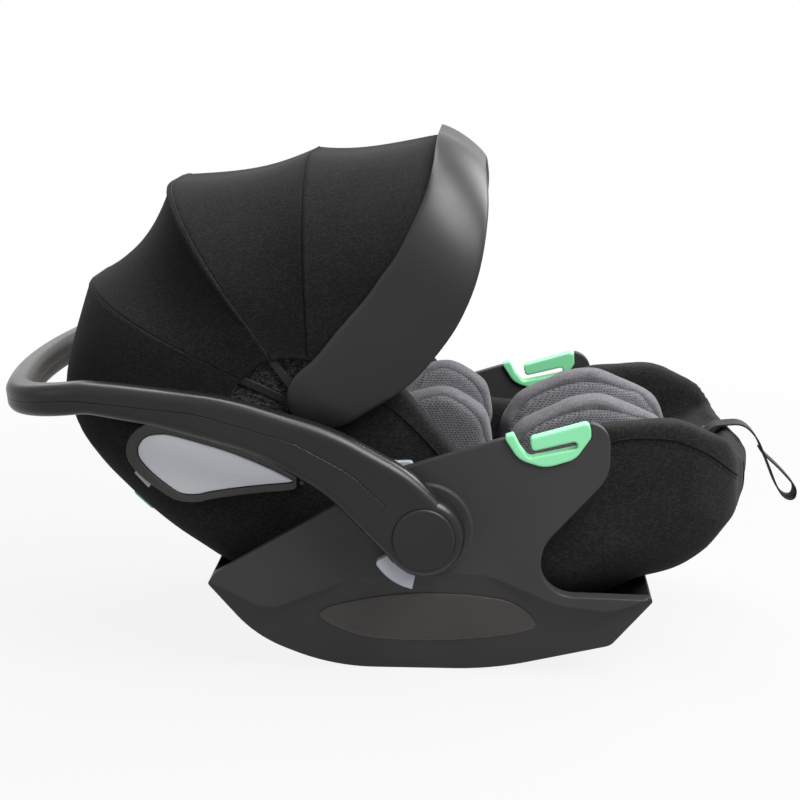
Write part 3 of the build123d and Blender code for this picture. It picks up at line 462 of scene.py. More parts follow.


# wear in each finish is the strength of its painted edge highlight
finishes = {
    "basePlastic": {"tones": greys(0.030, 0.036), "rough": 0.5, "specular": 0.26, "edge": 0.003, "wear": 1.5},
    "handlePlastic": {"tones": greys(0.0085, 0.0115), "rough": 0.3, "specular": 0.3, "edge": 0.0015, "wear": 1.3},
    "capPlastic": {"tones": greys(0.013, 0.016), "rough": 0.4, "specular": 0.26, "edge": 0.002, "wear": 1.5},
    "visorPlastic": {"tones": greys(0.0125, 0.0165), "rough": 0.4, "specular": 0.3, "edge": 0.002, "relief": 0.2},
    "slidePlastic": {"tones": greys(0.016, 0.022), "rough": 0.42, "specular": 0.3},
    "bowPlastic": {"tones": greys(0.012, 0.016), "rough": 0.45, "specular": 0.25},
    "bucklePlastic": {"tones": greys(0.012, 0.016), "rough": 0.34, "specular": 0.35, "edge": 0.0025},
    "greyPlastic": {"tones": ((0.40, 0.425, 0.47), (0.47, 0.50, 0.55)), "rough": 0.4, "wear": 1.15},
    "inlayPlastic": {
        "tones": ((0.67, 0.695, 0.74), (0.74, 0.765, 0.81)), "rough": 0.42, "wear": 1.15, "grain": 900.0,
    },
    "mintPlastic": {"tones": ((0.235, 0.72, 0.37), (0.275, 0.79, 0.43)), "rough": 0.36, "wear": 1.25, "edge": 0.003},
    "buttonPlastic": {"tones": ((0.46, 0.02, 0.018), (0.55, 0.03, 0.026)), "rough": 0.36, "wear": 1.2},
    "flapPlastic": {
        "tones": ((0.036, 0.034, 0.033), (0.045, 0.043, 0.041)), "rough": 0.42, "specular": 0.3, "wear": 1.7,
    },
    "platePlastic": {
        "tones": ((0.050, 0.044, 0.042), (0.062, 0.055, 0.052)), "rough": 0.34, "specular": 0.3, "relief": 0.05,
    },
    "coverCloth": {"tones": greys(0.0155, 0.0295), "pitch": 760.0, "patch": 0.93, "relief": 0.4, "specular": 0.1},
    "rimCloth": {"tones": greys(0.009, 0.022), "pitch": 760.0, "patch": 0.85, "specular": 0.1},
    "canopyCloth": {"tones": greys(0.0105, 0.0205), "pitch": 820.0, "patch": 0.93, "relief": 0.4, "specular": 0.1},
    # the net's dip darkens the gaps between its loops further, as painted shade
    "gatherNet": {
        "tones": greys(0.022, 0.105), "pitch": 760.0, "patch": 0.95, "dip": 0.5, "relief": 0.4, "specular": 0.1,
    },
    "padCloth": {"tones": greys(0.0075, 0.016), "pitch": 560.0},
}
threadTones = {
    "darkThread": greys(0.014, 0.03),
    "seamThread": greys(0.045, 0.09),
    "blackThread": greys(0.0015, 0.004),
    "greyThread": ((0.045, 0.044, 0.048), (0.09, 0.088, 0.095)),
}
webbing = {"ribs": 420.0, "tones": greys(0.0055, 0.02), "ribEdge": (-0.9, 1.3)}
grip = {"reach": (-0.300, -0.318), "facing": (0.35, 0.6), "tone": (0.052, 0.047, 0.043), "dull": 0.25}
melange = {
    "dark": (0.032, 0.031, 0.036),
    "light": (0.168, 0.163, 0.179),
    "band": (0.148, 0.143, 0.157),
    "rows": 400.0,
    "dashes": 270.0,
    "rowStep": 0.37,
    "sway": (60, 1.3),
    "rowEdge": (-0.3, 0.7),
    "dashEdge": (-0.75, 0.45),
    "depth": 0.85,
    "speckle": 0.45,
}


def webbingFinish():
    # woven strap: fine ribs across its width, with painted shade darkening the grooves between them
    material, tree, shader = finishOf("webbing", 0.72, 0.3)
    ribs = mathNode(tree, "SINE", times(tree, axes(tree, objectPlace(tree))["Y"], 2 * pi * webbing["ribs"]))
    yarn = placeGroup(tree, yarnGroup, Pitch=900.0, Stretch=1.0)
    height = mathNode(tree, "MULTIPLY_ADD", yarn["Height"], 0.5, ribs)
    # painted shade: the colour follows the rib height, darker down in the grooves
    tone = colourMix(tree, spread(tree, height, *webbing["ribEdge"]), *webbing["tones"])
    feed(tree, shader, {"Base Color": tone})
    bump(tree, shader, height, 0.5, 0.0004)
    return material


def steelFinish():
    material, tree, shader = finishOf("steel", 0.3, 0.5)
    grain = placeGroup(tree, grainGroup, Grain=600.0, Cloud=30.0)
    tone = colourMix(tree, grain["Tone"], *greys(0.42, 0.56))
    gloss = spread(tree, grain["Height"], 0.2, 0.8, 0.22, 0.4)
    feed(tree, shader, {"Metallic": 1.0, "Base Color": tone, "Roughness": gloss})
    return material


def threadFinish(name, tones):
    material, tree, shader = finishOf(name, 0.75, 0.08)
    yarn = placeGroup(tree, yarnGroup, Pitch=2200.0, Stretch=1.0)
    feed(tree, shader, {"Base Color": colourMix(tree, yarn["Thread"], *tones)})
    return material


def handleFinish():
    # carry handle: smooth shell, with a paler rubbery grip on the inner face of the cross bar
    material, tree, shader = plastic("handlePlastic", finishes["handlePlastic"])
    facing = axes(tree, addNode(tree, "ShaderNodeNewGeometry").outputs["Normal"])["X"]
    far = spread(tree, axes(tree, objectPlace(tree))["X"], *grip["reach"])
    held = times(tree, far, spread(tree, facing, *grip["facing"]))
    shell, gloss = (shader[label].links[0].from_socket for label in ("Base Color", "Roughness"))
    tone = colourMix(tree, held, shell, grip["tone"])
    feed(tree, shader, {"Base Color": tone, "Roughness": mathNode(tree, "MULTIPLY_ADD", held, grip["dull"], gloss)})
    return material


def melangeFinish():
    # grey knit: rows of short dark dashes on the faces, a plain finer knit on the sewn border
    material, tree, shader = finishOf("melangeCloth", 0.95, 0.12)
    yarn = placeGroup(tree, yarnGroup, Pitch=1150.0, Stretch=0.8)
    place = objectPlace(tree)
    axis = axes(tree, place)
    scale, swing = melange["sway"]
    # rows keep to the length of the seat, dashes step from row to row
    sway = times(tree, noise(tree, place, scale, 2), swing)
    across = mathNode(tree, "MULTIPLY_ADD", axis["Z"], melange["rows"], sway)
    step = times(tree, mathNode(tree, "FLOOR", across), melange["rowStep"])
    flat = mathNode(tree, "ADD", axis["X"], axis["Y"])
    reach = mathNode(tree, "MULTIPLY_ADD", flat, melange["dashes"], step)
    rowWave, dashWave = (mathNode(tree, "SINE", times(tree, run, 2 * pi)) for run in (across, reach))
    dash = times(tree, spread(tree, rowWave, *melange["rowEdge"]), spread(tree, dashWave, *melange["dashEdge"]))
    edge = addNode(tree, "ShaderNodeAttribute", attribute_name="border").outputs["Fac"]
    border = spread(tree, edge, 0.35, 0.65)
    mark = times(tree, times(tree, dash, melange["depth"]), mathNode(tree, "SUBTRACT", 1.0, border))
    ground = colourMix(tree, border, melange["light"], melange["band"])
    speckle = colourMix(tree, spread(tree, yarn["Thread"], 0.15, 0.75), melange["dark"], ground)
    knit = colourMix(tree, melange["speckle"], ground, speckle)
    feeds = {
        "Base Color": colourMix(tree, mark, knit, melange["dark"]),
        "Roughness": spread(tree, yarn["Thread"], 0.0, 1.0, 0.88, 1.0),
        "Sheen Weight": 0.12,
        "Sheen Roughness": 0.5,
    }
    feed(tree, shader, feeds)
    bump(tree, shader, mathNode(tree, "MULTIPLY_ADD", mark, -1.2, yarn["Height"]), 0.55, 0.0006)
    return material


paint = {
    "handlePlastic": handleFinish(),
    "webbing": webbingFinish(),
    "steel": steelFinish(),
    "melangeCloth": melangeFinish(),
}
for finishName, finishLook in finishes.items():
    if finishName not in paint:
        moulds = finishName.endswith("Plastic")
        paint[finishName] = plastic(finishName, finishLook)[0] if moulds else cloth(finishName, finishLook)
for finishName, finishTones in threadTones.items():
    paint[finishName] = threadFinish(finishName, finishTones)
print("finishes made:", len(paint))

# finishes of the moulded nodes, by the start of the node's name
nodeFinish = {
    "basePlastic": ("base_shell",),
    "steel": ("base_lock_bars", "buckle_tongue"),
    "mintPlastic": ("belt_guide", "rear_belt_guide"),
    "handlePlastic": ("handle_upper_shell", "handle_lower_shell"),
    "slidePlastic": ("handle_axle", "recline_rail", "recline_shoe", "canopy_pivot", "flap_hinge"),
    "greyPlastic": ("handle_release_button", "recline_tab", "adjuster_button"),
    "capPlastic": ("hub_cap",),
    "bucklePlastic": ("buckle_body", "adjuster_housing"),
    "buttonPlastic": ("buckle_button",),
    "bowPlastic": ("canopy_bow",),
}
for nodeName, node in cadNodes.items():
    chosen = [finish for finish, starts in nodeFinish.items() if nodeName.startswith(starts)]
    wear(node, paint[chosen[0] if chosen else "coverCloth"])


# geometry node trees: stitches along a line, and a round welt along a line
def nodeTree(name, **inputs):
    tree = bpy.data.node_groups.new(name, "GeometryNodeTree")
    tree.interface.new_socket("Geometry", in_out="INPUT", socket_type="NodeSocketGeometry")
    names = {}
    for label, value in inputs.items():
        socket = tree.interface.new_socket(label, in_out="INPUT", socket_type="NodeSocketFloat")
        socket.default_value = value
        names[label] = socket.identifier
    dye = tree.interface.new_socket("Material", in_out="INPUT", socket_type="NodeSocketMaterial")
    names["Material"] = dye.identifier
    tree.interface.new_socket("Geometry", in_out="OUTPUT", socket_type="NodeSocketGeometry")
    return tree, names, addNode(tree, "NodeGroupInput").outputs


def lineSteps(tree, entry, label):
    line = addNode(tree, "GeometryNodeMeshToCurve", {"Mesh": entry["Geometry"]}).outputs[0]
    feeds = {"Curve": line, "Length": entry[label]}
    return addNode(tree, "GeometryNodeResampleCurve", feeds, mode="LENGTH").outputs[0]


def closeTree(tree, entry, shape):
    solid = addNode(tree, "GeometryNodeRealizeInstances", {0: shape}).outputs[0]
    soft = addNode(tree, "GeometryNodeSetShadeSmooth", {"Geometry": solid}).outputs[0]
    dyed = addNode(tree, "GeometryNodeSetMaterial", {"Geometry": soft, "Material": entry["Material"]}).outputs[0]
    addNode(tree, "NodeGroupOutput", {0: dyed})


def buildStitchTree():
    tree, names, entry = nodeTree("stitchRow", Pitch=0.004, Length=0.0026, Thickness=0.0008)
    along = addNode(tree, "GeometryNodeInputTangent").outputs[0]
    thickness = entry["Thickness"]
    size = addNode(tree, "ShaderNodeCombineXYZ", {"X": entry["Length"], "Y": thickness, "Z": thickness})
    feeds = {
        "Points": lineSteps(tree, entry, "Pitch"),
        "Instance": addNode(tree, "GeometryNodeMeshIcoSphere", {"Radius": 0.5, "Subdivisions": 1}).outputs["Mesh"],
        "Rotation": addNode(tree, "FunctionNodeAlignRotationToVector", {"Vector": along}, axis="X").outputs[0],
        "Scale": size.outputs[0],
    }
    closeTree(tree, entry, addNode(tree, "GeometryNodeInstanceOnPoints", feeds).outputs[0])
    return tree, names


def buildWeltTree():
    tree, names, entry = nodeTree("roundWelt", Step=0.004, Radius=0.002)
    ring = addNode(tree, "GeometryNodeCurvePrimitiveCircle", {"Resolution": 10, "Radius": entry["Radius"]})
    feeds = {"Curve": lineSteps(tree, entry, "Step"), "Profile Curve": ring.outputs[0], "Fill Caps": True}
    closeTree(tree, entry, addNode(tree, "GeometryNodeCurveToMesh", feeds).outputs[0])
    return tree, names


stitchTree = buildStitchTree()
weltTree = buildWeltTree()


def alongLines(name, lines, treeAndNames, body, slotName, **values):
    # runs a tree on one or more lines and keeps the plain mesh
    tree, names = treeAndNames
    points, edges = [], []
    for line in lines:
        start = len(points)
        points += line
        edges += [(start + i, start + i + 1) for i in range(len(line) - 1)]
    piece = meshPiece(name, points, [], edges)
    work = addModifier(piece, tree.name, "NODES", node_group=tree)
    for label, value in values.items():
        work[names[label]] = value
    bake(piece)
    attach(piece, body)


def sewn(name, lines, body, slotName, thread="darkThread", pitch=0.0042, length=0.003, thickness=0.0009):
    sizes = {"Pitch": pitch, "Length": length, "Thickness": thickness}
    alongLines(name, lines, stitchTree, body, slotName, Material=paint[thread], **sizes)


def welted(name, lines, body, slotName, radius, finish):
    alongLines(name, lines, weltTree, body, slotName, Step=0.004, Radius=radius, Material=paint[finish])


# soft pieces start from a merged copy of the frame's solids
def solidCopy(name, nodeNames):
    work = bmesh.new()
    for nodeName in nodeNames:
        work.from_mesh(cadNodes[nodeName].data)
    bmesh.ops.remove_doubles(work, verts=work.verts, dist=1e-6)
    mesh = bpy.data.meshes.new(name)
    work.to_mesh(mesh)
    work.free()
    mesh.materials.clear()
    return placeObject(name, mesh)


def evenSkin(piece, look):
    addModifier(piece, "skin", "REMESH", mode="VOXEL", voxel_size=look["voxel"])
    return easeSkin(piece, look["rounds"])


def readPoints(piece, label):
    found = np.empty(len(piece.data.vertices) * 3, float)
    piece.data.vertices.foreach_get(label, found)
    return found.reshape(-1, 3)


def places(piece):
    return readPoints(piece, "co")


def normals(piece):
    return readPoints(piece, "normal")


def setPlaces(piece, points):
    piece.data.vertices.foreach_set("co", np.asarray(points, float).ravel())
    piece.data.update()


def fill(piece, look):
    # air pressure swells the pad from a slightly smaller shape; no point moves further than the cap
    setPlaces(piece, places(piece) - normals(piece) * look["shrink"])
    small = places(piece)
    puff = piece.modifiers.new("puff", "CLOTH").settings
    puff.quality = 4
    puff.mass = 0.3
    puff.use_pressure = True
    puff.uniform_pressure_force = look["pressure"]
    puff.effector_weights.gravity = 0
    for step in range(1, look["frames"] + 1):
        scene.frame_set(step)
    bake(piece)
    scene.frame_set(1)
    move = places(piece) - small
    size = np.linalg.norm(move, axis=1, keepdims=True)
    move *= np.minimum(1.0, look["cap"] / np.maximum(size, 1e-9))
    setPlaces(piece, small + move)
    easeSkin(piece, look["ease"])


def treeOf(piece):
    return BVHTree.FromPolygons(
        [v.co.copy() for v in piece.data.vertices], [tuple(f.vertices) for f in piece.data.polygons]
    )


def cast(tree, starts, toward, lift, reach=1.0, facing=0.0):
    # points where rays meet the surface, a little above it; steeper faces than the limit are left out
    found = []
    for start in starts:
        hit, normal, _, _ = tree.ray_cast(Vector(start), Vector(toward), reach)
        if hit is not None and abs(normal.y) >= facing:
            found.append(hit + normal * lift)
    return found


def castSide(tree, line, side, lift=0.0004):
    # drops a side view line (x, z in mm) on the surface seen from one side
    return cast(tree, [metres(x, side * 400, z) for x, z in line], (0, -side, 0), lift)


buildStudio()


# bucket cover: padded cloth over the shell, with a rim band and sewn seams
bucket = {
    "nodes": ("outer_cover", "seat_shell", "seat_liner"),
    "voxel": 0.005,
    "rounds": 9,
    "rim": [
        (-311, 303), (-260, 319), (-190, 328), (-120, 325), (-63, 317), (-18, 305), (21, 289), (50, 264), (73, 239),
        (88, 222), (105, 214), (140, 213), (170, 216), (195, 234), (220, 252), (243, 260), (266, 262), (290, 261),
        (309, 257), (335, 245), (356, 229), (374, 212),
    ],
    "bandDrop": 15.0,
    "stitchDrop": 18.5,
    "seamLift": 0.0002,
    "seamRadius": 0.0012,
    "cornerSeam": {"x": 500, "y": 83, "heights": range(205, 104, -5)},
    "swell": 0.0012,
    "ripple": 0.0007,
    "heel": {"from": 0.262, "run": 0.11, "drop": 0.012, "height": 0.07, "swing": (0.0665, 0.5, 0.457)},
    "toe": {"from": 0.335, "run": 0.04, "pull": 0.009, "flank": (0.02, 0.05, 0.14, 0.03)},
}


def dropLine(line, drop):
    # the line moved square to itself, downwards
    moved = []
    for i, (x, z) in enumerate(line):
        x0, z0 = line[max(i - 1, 0)]
        x1, z1 = line[min(i + 1, len(line) - 1)]
        run = np.hypot(x1 - x0, z1 - z0)
        moved.append((x + (z1 - z0) / run * drop, z - (x1 - x0) / run * drop))
    return moved


def shapeBucket(spots, facing):
    # the heel hangs fuller below the foot end, and the toe end is rounder in plan
    heel, toe = bucket["heel"], bucket["toe"]
    swingX, swingZ, reach = heel["swing"]
    along = ramp(spots[:, 0], heel["from"], heel["run"])
    under = swingZ - np.sqrt(np.maximum(0.01, reach ** 2 - (spots[:, 0] - swingX) ** 2))
    low = np.clip(1 - (spots[:, 2] - under) / heel["height"], 0, 1)
    outer = np.clip(0.6 - facing[:, 2] * 1.5, 0, 1)
    spots[:, 2] -= heel["drop"] * np.sin(pi * along) ** 1.5 * low * low * (3 - 2 * low) * outer
    start, rise, stop, fall = toe["flank"]
    side = np.abs(spots[:, 1])
    flank = ramp(side, start, rise) * np.clip((stop - side) / fall, 0, 1)
    spots[:, 0] -= toe["pull"] * flank * ramp(spots[:, 0], toe["from"], toe["run"])


def rippleOf(spots):
    # slow uneven waves, as cloth over padding has
    x, y, z = spots.T
    return (
        np.sin(x * 61 + 2 * np.sin(z * 47))
        + np.sin(z * 83 + 3 * np.sin(x * 29 + y * 37))
        + np.sin(y * 71 + z * 53)
    ) / 3


def buildBucket():
    cover = evenSkin(solidCopy("bucketCover", bucket["nodes"]), bucket)
    spots = places(cover)
    facing = normals(cover)
    shapeBucket(spots, facing)
    setPlaces(cover, spots + facing * (rippleOf(spots)[:, None] * bucket["ripple"] + bucket["swell"]))
    dress(cover, "coverCloth", "cover_fabric", "seat", *bucket["nodes"])
    surface = treeOf(cover)

    rim = [tuple(p) for p in smoothPath(bucket["rim"], 5)]
    lift, corner = bucket["seamLift"], bucket["cornerSeam"]
    seams = [castSide(surface, dropLine(rim, bucket["bandDrop"]), side, lift) for side in (-1, 1)]
    rows = [castSide(surface, dropLine(rim, bucket["stitchDrop"]), side) for side in (-1, 1)]
    # seams that turn the corner at the foot end, seen from the front
    for side in (-1, 1):
        starts = [metres(corner["x"], side * corner["y"], z) for z in corner["heights"]]
        seams.append(cast(surface, starts, (-1, 0, 0), lift))
    welted("coverSeams", seams, "seat", "cover_fabric", bucket["seamRadius"], "rimCloth")
    sewn("coverStitches", rows, "seat", "cover_fabric")
    print("bucket cover:", len(cover.data.polygons), "faces")


buildBucket()


# newborn insert, headrest and belt pads
insertPad = {"voxel": 0.005, "rounds": 7, "shrink": 0.0015, "pressure": 4.0, "cap": 0.0065, "frames": 20, "ease": 3}
seatPad = {**insertPad, "settle": (0.200, 0.92, 0.225, 1.07)}
headPad = {**insertPad, "rounds": 9, "shrink": 0.004}
beltPad = {"voxel": 0.003, "rounds": 2, "shrink": 0.0012, "pressure": 4.0, "cap": 0.0022, "frames": 12, "ease": 2}
beltPads = {
    "shoulderPadRight": "shoulder_pad_right",
    "shoulderPadLeft": "shoulder_pad_left",
    "crotchPad": "crotch_pad",
}
lobes = {
    "back": [(20, 225), (38, 262), (50, 270), (68, 272), (88, 262), (102, 248), (108, 232), (110, 190), (20, 150)],
    "seat": [
        (139, 180), (143, 220), (154, 236), (177, 249), (205, 258), (233, 259), (261, 252), (285, 240), (306, 180),
    ],
    "groove": 0.0022,
    "grooveWidth": 3.2,
    "borderWidth": 5,
    "sewnFrom": 215.0,
    "sewnFacing": 0.35,
    "fewest": 6,
}


def buildPad(name, nodeName, body, look, finish, slotName):
    pad = solidCopy(name, [nodeName])
    if "settle" in look:
        # the lobes settle a little from their full height and spread along the seat
        floor, share, middle, spreadShare = look["settle"]
        spots = places(pad)
        spots[:, 2] = np.where(spots[:, 2] > floor, between(floor, spots[:, 2], share), spots[:, 2])
        spots[:, 0] = between(middle, spots[:, 0], spreadShare)
        setPlaces(pad, spots)
    fill(evenSkin(pad, look), look)
    addModifier(pad, "finer", "SUBSURF", levels=1, render_levels=1)
    dress(bake(pad), finish, slotName, body, nodeName)
    return pad


def awayFrom(spots, outline):
    # distance of side view points from a closed outline, negative inside
    best = np.full(len(spots), 1e9)
    inside = np.zeros(len(spots), bool)
    for (x0, z0), (x1, z1) in zip(outline, outline[1:] + outline[:1]):
        dx, dz = x1 - x0, z1 - z0
        t = np.clip(((spots[:, 0] - x0) * dx + (spots[:, 1] - z0) * dz) / (dx * dx + dz * dz), 0, 1)
        best = np.minimum(best, np.hypot(spots[:, 0] - x0 - t * dx, spots[:, 1] - z0 - t * dz))
        if z0 != z1:
            crosses = (spots[:, 1] >= min(z0, z1)) & (spots[:, 1] < max(z0, z1))
            inside ^= crosses & (spots[:, 0] < x0 + (spots[:, 1] - z0) * dx / dz)
    return np.where(inside, -best, best)


def sewBorder(pad, corners):
    # draws the sewn line into the pad and marks the border outside it
    outline = [tuple(p) for p in smoothPath(corners, 8, closed=True)]
    spots = places(pad)
    away = awayFrom(spots[:, [0, 2]] * 1000, outline)
    flank = ramp(np.abs(normals(pad)[:, 1]), 0.25, 0.4)
    dip = lobes["groove"] * np.exp(-((away / lobes["grooveWidth"]) ** 2)) * flank
    setPlaces(pad, spots - normals(pad) * dip[:, None])
    mark = pad.data.attributes.new("border", "FLOAT", "POINT")
    mark.data.foreach_set("value", np.clip(0.5 + away / lobes["borderWidth"], 0, 1).astype(np.float32))
    # stitches sit in the line, on the outer and inner face of each lobe
    surface = treeOf(pad)
    sewnPart = [(x, z) for x, z in outline if z >= lobes["sewnFrom"]]
    rows = []
    for side in (-1, 1):
        for start, toward, reach in ((130 * side, -side, 0.13), (0, side, 0.075)):
            starts = [metres(x, start, z) for x, z in sewnPart]
            rows.append(cast(surface, starts, (0, toward, 0), 0.0002, reach, lobes["sewnFacing"]))
    return [row for row in rows if len(row) > lobes["fewest"]]


def buildInserts():
    back = buildPad("insertBack", "newborn_insert_back", "seat", insertPad, "melangeCloth", "insert_fabric")
    seat = buildPad("insertSeat", "newborn_insert_seat", "seat", seatPad, "melangeCloth", "insert_fabric")
    rows = sewBorder(back, lobes["back"]) + sewBorder(seat, lobes["seat"])
    sewn("insertStitches", rows, "seat", "insert_fabric", thread="greyThread", pitch=0.0036, length=0.003)
    print("insert:", len(back.data.polygons) + len(seat.data.polygons), "faces,", len(rows), "stitched lines")


buildInserts()
buildPad("headrestPad", "headrest", "headrest", headPad, "melangeCloth", "insert_fabric")
for padName, padNode in beltPads.items():
    buildPad(padName, padNode, "seat", beltPad, "padCloth", "pad_fabric")
print("pads filled")


# harness webbing on the curved back
harness = {
    "swing": (66.5, 500.0),
    "radius": 403.8,
    "crown": 0.5,
    "across": 8,
    "thickness": 0.0019,
    "edge": 0.0005,
    "straps": {
        "shoulderStrapRight": {"node": "shoulder_strap_right", "angles": (-36.5, -11.0), "y": (-36, -8)},
        "shoulderStrapLeft": {"node": "shoulder_strap_left", "angles": (-36.5, -11.0), "y": (8, 36)},
        "hipStrapRight": {"node": "hip_strap_right", "angles": (-13.6, -11.0), "y": (-43.7, -36)},
        "hipStrapLeft": {"node": "hip_strap_left", "angles": (-13.6, -11.0), "y": (36, 43.7)},
        "crotchStrap": {"node": "crotch_strap", "angles": (-1.0, 3.0), "y": (-19, 19)},
    },
}


def swingPlace(angle, y, crown):
    x, z = harness["swing"]
    turn, radius = radians(angle), harness["radius"] - crown
    return metres(x + radius * sin(turn), y, z - radius * cos(turn))


def buildHarness():
    across = [j / harness["across"] for j in range(harness["across"] + 1)]
    crowns = [harness["crown"] * (1 - (2 * t - 1) ** 4) for t in across]
    for name, look in harness["straps"].items():
        first, last = look["angles"]
        steps = max(6, int(abs(last - first) * 2))
        rows = []
        for i in range(steps + 1):
            angle = between(first, last, i / steps)
            rows.append([swingPlace(angle, between(*look["y"], t), crown) for t, crown in zip(across, crowns)])
        strap = thicken(gridPiece(name, rows), harness["thickness"], harness["edge"])
        dress(strap, "webbing", "webbing", "seat", look["node"])
    print("harness laid")


buildHarness()


# pull strap of the harness adjuster, sewn back on itself in a loop
pullStrap = {
    "route": [
        (340, 210.3), (349, 224.5), (364, 226.5), (384, 228), (399, 213), (407, 195), (414, 179), (421, 161),
        (430, 146.5), (441.5, 144.5), (443.5, 157), (434, 168.5), (421, 182), (410, 191.5), (403, 199),
    ],
    "halfWidth": 12.5,
    "across": 8,
    "thickness": 0.0018,
    "edge": 0.0005,
}


def splinePoints(route):
    curve = bpy.data.curves.new("pullRoute", "CURVE")
    curve.dimensions = "3D"
    curve.resolution_u = 12
    line = curve.splines.new("NURBS")
    line.points.add(len(route) - 1)
    for point, (x, z) in zip(line.points, route):
        point.co = (*metres(x, 0, z), 1)
    line.order_u = 3
    line.use_endpoint_u = True
    holder = placeObject("pullRoute", curve)
    mesh = bpy.data.meshes.new_from_object(holder.evaluated_get(bpy.context.evaluated_depsgraph_get()))
    points = [v.co.copy() for v in mesh.vertices]
    bpy.data.meshes.remove(mesh)
    bpy.data.objects.remove(holder)
    bpy.data.curves.remove(curve)
    return points


def buildPullStrap():
    path = splinePoints(pullStrap["route"])
    half = pullStrap["halfWidth"] * 0.001
    across = [between(-half, half, j / pullStrap["across"]) for j in range(pullStrap["across"] + 1)]
    strap = gridPiece("pullStrap", [[(p.x, y, p.z) for y in across] for p in path])
    thicken(strap, pullStrap["thickness"], pullStrap["edge"])
    dress(strap, "webbing", "webbing", "seat", "adjuster_strap", "adjuster_strap_loop")


buildPullStrap()


# canopy: one sheet over three bows, sagging between them, gathered at the pivots
# a bow is its angle, reach and half width; a station has its corner too
canopy = {
    "pivot": (-63.5, 270.0),
    "stations": [
        (182.0, 266.0, 162.4, 102.0), (175.0, 264.8, 162.4, 104.0), (168.0, 262.8, 162.4, 108.0),
        (161.5, 263.0, 162.4, 116.0),
    ],
    "bows": [(155.0, 266.8, 162.4), (125.5, 263.8, 166.6), (92.3, 244.8, 170.8)],
    "visorEdge": (65.7, 282.5, 175.2),
    "under": (60.5, 291.0, 180.0),
    "corner": 130.0,
    "visorCorner": 119.0,
    "sag": (23.0, 19.0, 13.5),
    "sideSag": 4.0,
    "sideSagRise": (40, 150),
    "foot": 15.0,
    "hemAngles": (60, 88, 102, 114, 125.5, 132, 140, 150, 160, 182),
    "hemReach": (50, 52.7, 56, 60, 64.5, 68.5, 70, 73.5, 79.5, 84),
    "hemFold": ((-1.0, -0.4), (0.0, 0.7), (2.5, 0.9), (4.5, 0.2)),
    "hemAbove": 9,
    "netDepth": 5.2,
    "netFrom": 120,
    "netRun": 40,
    "tuckRun": 24.0,
    "thickness": 0.0013,
    "cutShare": 0.8,
    "netSteps": 8,
    "sideSteps": 12,
    "cornerSteps": 14,
    "topSteps": 8,
    "panelSteps": 24,
}
sleeve = {"turn": 0.5, "sink": -1.6, "lift": 34.0, "tuck": 2.0}
seamStitch = {"thread": "seamThread", "pitch": 0.0026, "length": 0.0024, "thickness": 0.0008}


def hemAt(angle):
    return float(np.interp(angle, canopy["hemAngles"], canopy["hemReach"]))


def turnOf(x, z):
    px, pz = canopy["pivot"]
    return np.degrees(np.arctan2(z * 1000 - pz, x * 1000 - px)) % 360


def roofPoints(half, reach, corner, cornerSteps, topSteps):
    # round corner and flat top of half an arch
    turns = [pi / 2 * i / cornerSteps for i in range(cornerSteps)]
    points = [(half - corner + corner * cos(turn), reach - corner + corner * sin(turn)) for turn in turns]
    return points + [((half - corner) * (1 - i / topSteps), reach) for i in range(topSteps + 1)]


def bothSides(half):
    return [(-y, r) for y, r in half] + [(y, r) for y, r in reversed(half[:-1])]


def archPoints(angle, halfWidth, reach, corner):
    # from the foot, over the hem of the net, to the middle of the top and down again
    foot, hem = canopy["foot"], hemAt(angle)
    netSteps, sideSteps = canopy["netSteps"], canopy["sideSteps"]
    fold = [hem + step for step, _ in canopy["hemFold"]]
    heights = [between(foot, fold[0], i / netSteps) for i in range(netSteps)] + fold
    heights += [between(fold[-1], reach - corner, i / sideSteps) for i in range(1, sideSteps)]
    roof = roofPoints(halfWidth, reach, corner, canopy["cornerSteps"], canopy["topSteps"])
    return bothSides([(halfWidth, r) for r in heights] + roof)


def canopyPlace(angle, y, reach):
    px, pz = canopy["pivot"]
    turn = radians(angle)
    return metres(px + reach * cos(turn), y, pz + reach * sin(turn))


def gathered(angle, y, r, dip):
    # the net lies deeper than the hem and gathers in folds towards the pivot
    side = 1 if y > 0 else -1
    push = 0.0
    below = hemAt(angle) - r
    if abs(y) > canopy["netFrom"] and below > -canopy["hemAbove"]:
        turn = radians(angle)
        near = min(1.0, max(0.0, below / canopy["netRun"]))
        push += near * (0.8 + 0.4 * sin(turn * 40) + 0.4 * sin(turn * 23 + r * 0.1))
        push -= canopy["netDepth"] * min(1.0, max(0.0, below)) * (1 - 0.1 * near)
        steps, rises = zip(*[(-step, rise) for step, rise in reversed(canopy["hemFold"])])
        push += float(np.interp(below, steps, rises, left=0.0, right=0.0))
    return y - side * dip * min(1.0, abs(y) / canopy["netFrom"]) + side * push


def panelRows(back, front, sag, corners=(canopy["corner"], canopy["corner"])):
    rows = []
    steps = canopy["panelSteps"]
    start, run = canopy["sideSagRise"]
    for i in range(steps + 1):
        t = i / steps
        angle, reach, width = (between(a, b, t) for a, b in zip(back, front))
        hang = 4 * t * (1 - t)
        row = []
        for y, r in archPoints(angle, width, reach - sag * hang, between(*corners, t)):
            # the sides hang less near the hem than under the roof
            share = min(1.0, max(0.0, (r - start) / run))
            row.append(canopyPlace(angle, gathered(angle, y, r, canopy["sideSag"] * hang * share), r))
        rows.append(row)
    return rows


def buildPanel(name, rows, bodies, node):
    panel = gridPiece(name, rows)
    thicken(panel, canopy["thickness"])
    wear(panel, paint["canopyCloth"], paint["gatherNet"])
    px, pz = canopy["pivot"]
    for face in panel.data.polygons:
        x, y, z = face.center
        near = np.hypot(x * 1000 - px, z * 1000 - pz)
        face.material_index = int(abs(y) * 1000 > canopy["netFrom"] and near < hemAt(turnOf(x, z)))
    if len(bodies) == 1:
        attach(panel, bodies[0])
    else:
        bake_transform(panel)
        spots = places(panel)
    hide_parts(node)


